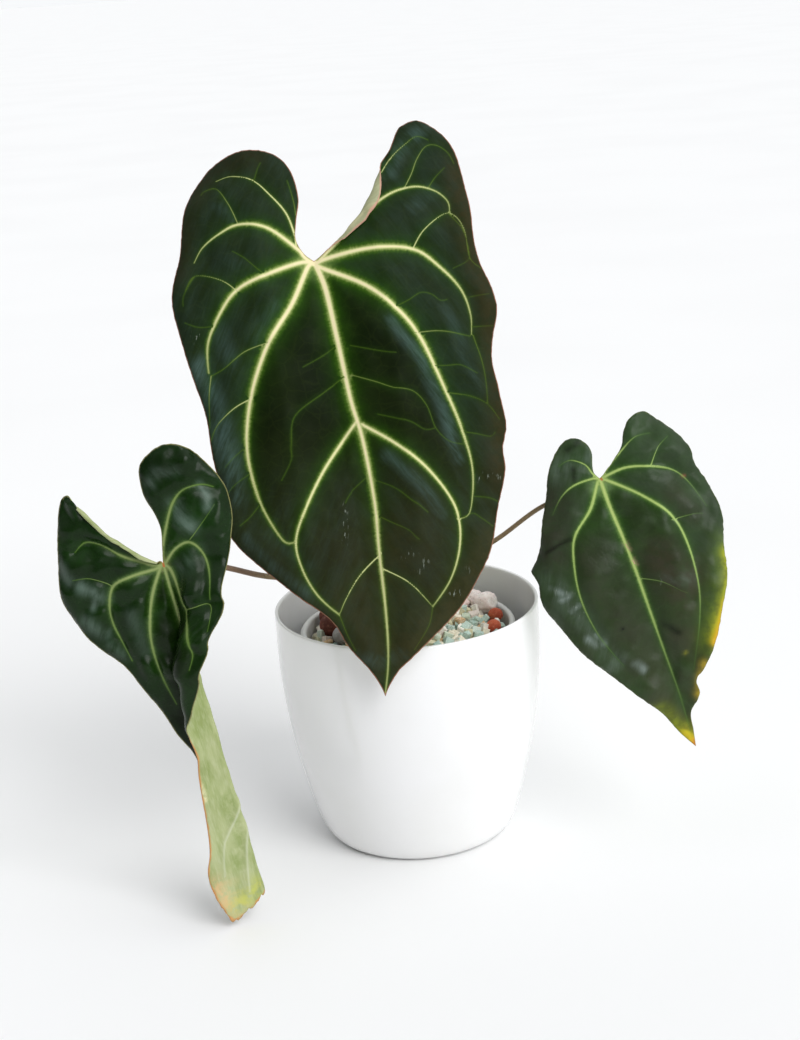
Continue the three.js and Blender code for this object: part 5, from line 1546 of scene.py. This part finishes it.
def loose_stones():
    growth = stone_growth()
    brown = stone_finish("brown_fired_clay", "#5a2a20", "#7a3d2e", "#a06a55", 0.8, 900)
    red = stone_finish("red_fired_clay", "#a8452a", "#c25f3d", "#d98f70", 0.8, 900)
    grey = stone_finish("grey_pebble", "#8d8a8a", "#b3aeac", "#d2cecb", 0.5, 500)
    white = stone_finish("white_pumice", "#f6efec", "#ead9d5", "#fdfbf9", 0.95, 700)
    pink = stone_finish("pink_pumice", "#ead2ce", "#f3e4e1", "#fcf7f5", 0.95, 700)
    ball = {"Lump height": 0.0007, "Pit depth": 0.0003}
    smooth = {"Lump height": 0.0012, "Pit depth": 0.00005}
    rough = {"Lump height": 0.0035, "Lump size": 130.0, "Pit depth": 0.0012, "Pit size": 450.0}
    kinds = {"clay_ball_1": (brown, ball), "clay_ball_2": (brown, ball), "clay_ball_3": (red, ball)}
    kinds.update({"clay_ball_4": (red, ball), "pebble": (grey, smooth), "pumice_lump_1": (white, rough)})
    kinds.update({"pumice_lump_2": (pink, rough), "pumice_lump_3": (white, rough)})
    slots = {"clay": "clay_ball", "pebble": "pebble", "pumice": "pumice"}
    for node, (centre, half) in STONES.items():
        material, sizes = kinds[node]
        point = bpy.data.meshes.new(node)
        point.from_pydata([Vector(centre) * MM], [], [])
        shape = {"Width": half[0] * MM, "Depth": half[1] * MM, "Height": half[2] * MM, **sizes}
        settle(grown(node + "_stone", growth, point, material, shape), slots[node.split("_")[0]], node)


def centripetal(points, count):
    """A smooth curve through points, spaced evenly, that keeps from looping between near ones."""
    given = np.array(points, float)
    ends = np.vstack([2 * given[0] - given[1], given, 2 * given[-1] - given[-2]])
    t = np.linspace(0, 1, 20, endpoint=False)[:, None]
    parts = []
    for a, b, c, d in zip(ends, ends[1:], ends[2:], ends[3:]):
        s0, s1, s2 = (max(1e-4, np.linalg.norm(q - p) ** 0.5) for p, q in ((a, b), (b, c), (c, d)))
        v0 = ((b - a) / s0 - (c - a) / (s0 + s1) + (c - b) / s1) * s1
        v1 = ((c - b) / s1 - (d - b) / (s1 + s2) + (d - c) / s2) * s1
        parts.append(eased(b, c, v0, v1, t))
    return evenly(np.vstack(parts + [given[-1:]]), count=count)


def stalk_path(side):
    """The stalk's way from the crown to its seat square under the leaf's midrib, in millimetres."""
    leaf = {**LEAVES[side], **LOOKS[side]}
    trace(leaf)
    seat = leaf["lines"][0][1]
    step = 0.4
    around = np.array([(0, 0), (step, 0), (-step, 0), (0, step), (0, -step)]) + seat
    middle, east, west, north, south = blade_points(leaf, around)
    normal = np.cross(east - west, north - south)
    normal /= np.linalg.norm(normal)
    turn = leaf_frame(leaf)
    x, y = STALKS[side]["start"]
    points = [(x, y, STALK_ROOT_HEIGHT)]
    points.append((x * STALK_SPREAD, y * STALK_SPREAD, STALK_ROOT_HEIGHT + STALK_BEND))
    points += STALKS[side]["via"]
    for back in (STALK_BEND, BLADE_THICKNESS / 2 + RIB_HEIGHT + GAP):
        points.append(tuple(turn @ Vector(middle - normal * back)))
    return centripetal(points, STALK_POINTS)


def stalk_growth():
    """A round stalk along a path, thicker at its foot and at the knee below the leaf."""
    sizes = {"Radius": 0.002, "Foot": 1.35, "Knee": 1.2, "Sides": 20}
    tree, given, result = new_growth("leaf stalk", sizes)
    way = add(tree, "GeometryNodeMeshToCurve", {"Mesh": given["Geometry"]})
    along = add(tree, "GeometryNodeSplineParameter").outputs["Factor"]
    foot_swell = number(tree, "SUBTRACT", given["Foot"], 1)
    knee_swell = number(tree, "SUBTRACT", given["Knee"], 1)
    from_knee = number(tree, "ABSOLUTE", number(tree, "SUBTRACT", along, KNEE_AT))
    foot = remapped(tree, along, 0.10, 0.0, 0, foot_swell)
    knee = remapped(tree, from_knee, 0.035, 0.005, 0, knee_swell)
    taper = number(tree, "MULTIPLY_ADD", along, -0.12, 1.0)
    swollen = number(tree, "ADD", number(tree, "ADD", foot, knee), taper)
    scale = times(tree, swollen, given["Radius"])
    ring = add(tree, "GeometryNodeCurvePrimitiveCircle", {"Radius": 1.0, "Resolution": given["Sides"]})
    sockets = {"Curve": way.outputs[0], "Profile Curve": ring.outputs[0], "Scale": scale, "Fill Caps": True}
    body = add(tree, "GeometryNodeCurveToMesh", sockets)
    return ended(tree, given, result, body.outputs[0])


def stalk_finish():
    material, tree, shader = new_finish("brown_stalk_skin", Roughness=0.45)
    where = object_place(tree)
    tone = blotched(tree, where, 35, 0.35, 0.7, "#7d624c", "#94805f")
    fine = noise(tree, stretched(tree, where, 1, 1, 0.12), 1500, 3)
    lines = remapped(tree, fine, 0.4, 0.7, 0, 0.35)
    painted(tree, shader, mixed(tree, lines, tone, "#5b4634"))
    bumped(tree, shader, lines, 0.0003, 0.5)
    return material


def stalks(growth):
    skin = stalk_finish()
    for side, stalk in STALKS.items():
        path = thread(stalk_path(side))
        piece = grown(f"{side}_leaf_stalk", growth, path, skin, {"Radius": stalk["radius"] * MM})
        outwards(piece.data)
        settle(piece, "petiole", f"petiole_{side}")


def crown(growth, root_growth):
    """The short ringed stem with dry sheaths round the stalks' feet and a few roots into the mix."""
    profile = [(0, 108), (7, 108), (8.6, 113)]
    for ring in range(CROWN_RINGS):
        z = 116 + ring * 6
        profile += [(9.2 - ring * 0.25, z), (8.2 - ring * 0.25, z + 2.4), (8.4 - ring * 0.25, z + 4.4)]
    profile += [(7.6, 141), (6.4, 145), (4, 146), (0, 146)]
    bark = crown_finish()
    stem = turned("crown_stem", profile, CROWN_SIDES, growth, bark)
    for vertex in stem.data.vertices:
        vertex.co.x += CROWN_AT[0] * MM
        vertex.co.y += CROWN_AT[1] * MM
    parts = [stem] + [sheath(i, bark) for i in range(SHEATH_COUNT)]
    parts += [root(i, root_growth, bark) for i in range(ROOT_COUNT)]
    settle(joined("crown", parts), "crown", "crown")


def round_crown(reach, angle):
    """The place, across and back, that lies this far from the crown's axis at this angle."""
    return CROWN_AT[0] + reach * math.cos(angle), CROWN_AT[1] + reach * math.sin(angle)


def sheath(index, material):
    """One dry sheath: a pointed, cupped scale that stands beside the stem."""
    turn = index * 2.4
    height = 22 - index * 1.6
    reach = 8.6 - index * 0.25
    rows, columns = 9, 7
    work = bmesh.new()
    grid = []
    for i in range(rows):
        t = i / (rows - 1)
        half = 0.62 * (1 - t**2.2)
        radius = reach + 0.6 + 1.6 * t * t
        z = 128 + index * 1.2 + height * t
        angles = [turn + half * (2 * j / (columns - 1) - 1) for j in range(columns)]
        grid.append([work.verts.new(Vector((*round_crown(radius, a), z)) * MM) for a in angles])
    for low, high in zip(grid, grid[1:]):
        for j in range(columns - 1):
            work.faces.new((low[j], low[j + 1], high[j + 1], high[j]))
    bmesh.ops.remove_doubles(work, verts=work.verts, dist=0.00005)
    bmesh.ops.recalc_face_normals(work, faces=work.faces)
    bmesh.ops.solidify(work, geom=list(work.faces), thickness=0.0004)
    bmesh.ops.recalc_face_normals(work, faces=work.faces)
    mesh = finished(work, f"sheath_{index}")
    mesh.shade_smooth()
    return new_object(f"sheath_{index}", mesh, material)


def root(index, growth, material):
    """A stout root that leaves the stem and goes down into the mix."""
    angle = index * 1.15 + 0.4
    points = [
        (*round_crown(reach, angle + reach * 0.012), z - index * 0.6)
        for reach, z in ((6, 137), (11, 139.5), (16, 136), (20, 131), (22, 124))
    ]
    path = thread(centripetal(points, ROOT_POINTS))
    piece = grown(f"root_{index}", growth, path, material, {"Radius": 0.0016, "Knee": 0.6})
    outwards(piece.data)
    return piece


def crown_finish():
    material, tree, shader = new_finish("dry_stem_bark", Roughness=0.75)
    where = object_place(tree)
    long = stretched(tree, where, 1, 1, 0.15)
    tone = blotched(tree, long, 500, 0.35, 0.65, "#6d5636", "#a58a5c")
    greener = remapped(tree, noise(tree, where, 90, 3), 0.5, 0.7)
    painted(tree, shader, mixed(tree, greener, tone, "#4f5a2c"))
    bumped(tree, shader, noise(tree, long, 900, 4), 0.0006, 0.7)
    return material


def camera():
    elevation, roll = math.radians(CAMERA_ELEVATION), math.radians(CAMERA_ROLL)
    forward = Vector((0, math.cos(elevation), -math.sin(elevation)))
    level, rise = Vector((1, 0, 0)), Vector((1, 0, 0)).cross(forward)
    right = level * math.cos(roll) + rise * math.sin(roll)
    up = rise * math.cos(roll) - level * math.sin(roll)
    data = bpy.data.cameras.new("photo_camera")
    data.sensor_fit = "VERTICAL"
    data.sensor_height = SENSOR_HEIGHT
    data.lens = CAMERA_LENS
    data.clip_end = FAR_CLIP
    eye = bpy.data.objects.new("photo_camera", data)
    place = (Vector(CAMERA_AIM) - forward * CAMERA_DISTANCE) * MM
    eye.matrix_world = Matrix.Translation(place) @ Matrix((right, up, -forward)).transposed().to_4x4()
    bpy.context.scene.collection.objects.link(eye)
    bpy.context.scene.camera = eye


def studio_floor():
    """A wide pale floor under the pot's foot."""
    bpy.ops.mesh.primitive_plane_add(size=FLOOR_SIZE)
    floor = bpy.context.object
    floor.name = "studio_floor"
    material, tree, shader = new_finish("pale_floor", Roughness=0.75, Specular_IOR_Level=0.2)
    painted(tree, shader, blotched(tree, object_place(tree), 2, 0.35, 0.7, "#f4f4f4", "#f2f2f2", 2))
    floor.data.materials.append(material)


def daylight():
    """Soft white light from all round, brightest from the front right and dimmer from the left."""
    scene = bpy.context.scene
    scene.world = bpy.data.worlds.new("studio")
    scene.world.use_nodes = True
    tree = scene.world.node_tree
    way = add(tree, "ShaderNodeTexCoord").outputs["Generated"]
    level = SKY_LEVEL
    for side, start, full, strength in SKY_AREAS:
        toward = add(tree, "ShaderNodeVectorMath", {0: way, 1: side}, operation="DOT_PRODUCT")
        area = remapped(tree, toward.outputs["Value"], start, full, 0, strength)
        level = number(tree, "ADD", area, level)
    rise = add(tree, "ShaderNodeSeparateXYZ", {"Vector": way}).outputs["Z"]
    horizon = remapped(tree, rise, *HORIZON_BAND, 0, HORIZON_LEVEL)
    back = tree.nodes["Background"]
    back.inputs["Color"].default_value = SKY_COLOUR
    tree.links.new(number(tree, "MAXIMUM", level, horizon), back.inputs["Strength"])
    sun = bpy.data.lights.new("soft_daylight", "SUN")
    sun.energy = SUN_STRENGTH
    sun.angle = math.radians(SUN_WIDTH)
    lamp = bpy.data.objects.new("soft_daylight", sun)
    lamp.rotation_euler = Vector(SUN_FROM).to_track_quat("Z", "Y").to_euler()
    scene.collection.objects.link(lamp)
    scene.view_settings.view_transform = "Standard"
    scene.view_settings.look = "None"


camera()
studio_floor()
daylight()
shell_growth = turned_growth()
outer_pot(shell_growth)
inner_pot(shell_growth)
mineral_mix(shell_growth)
loose_stones()
rod_growth = stalk_growth()
crown(shell_growth, rod_growth)
stalks(rod_growth)
leaves()
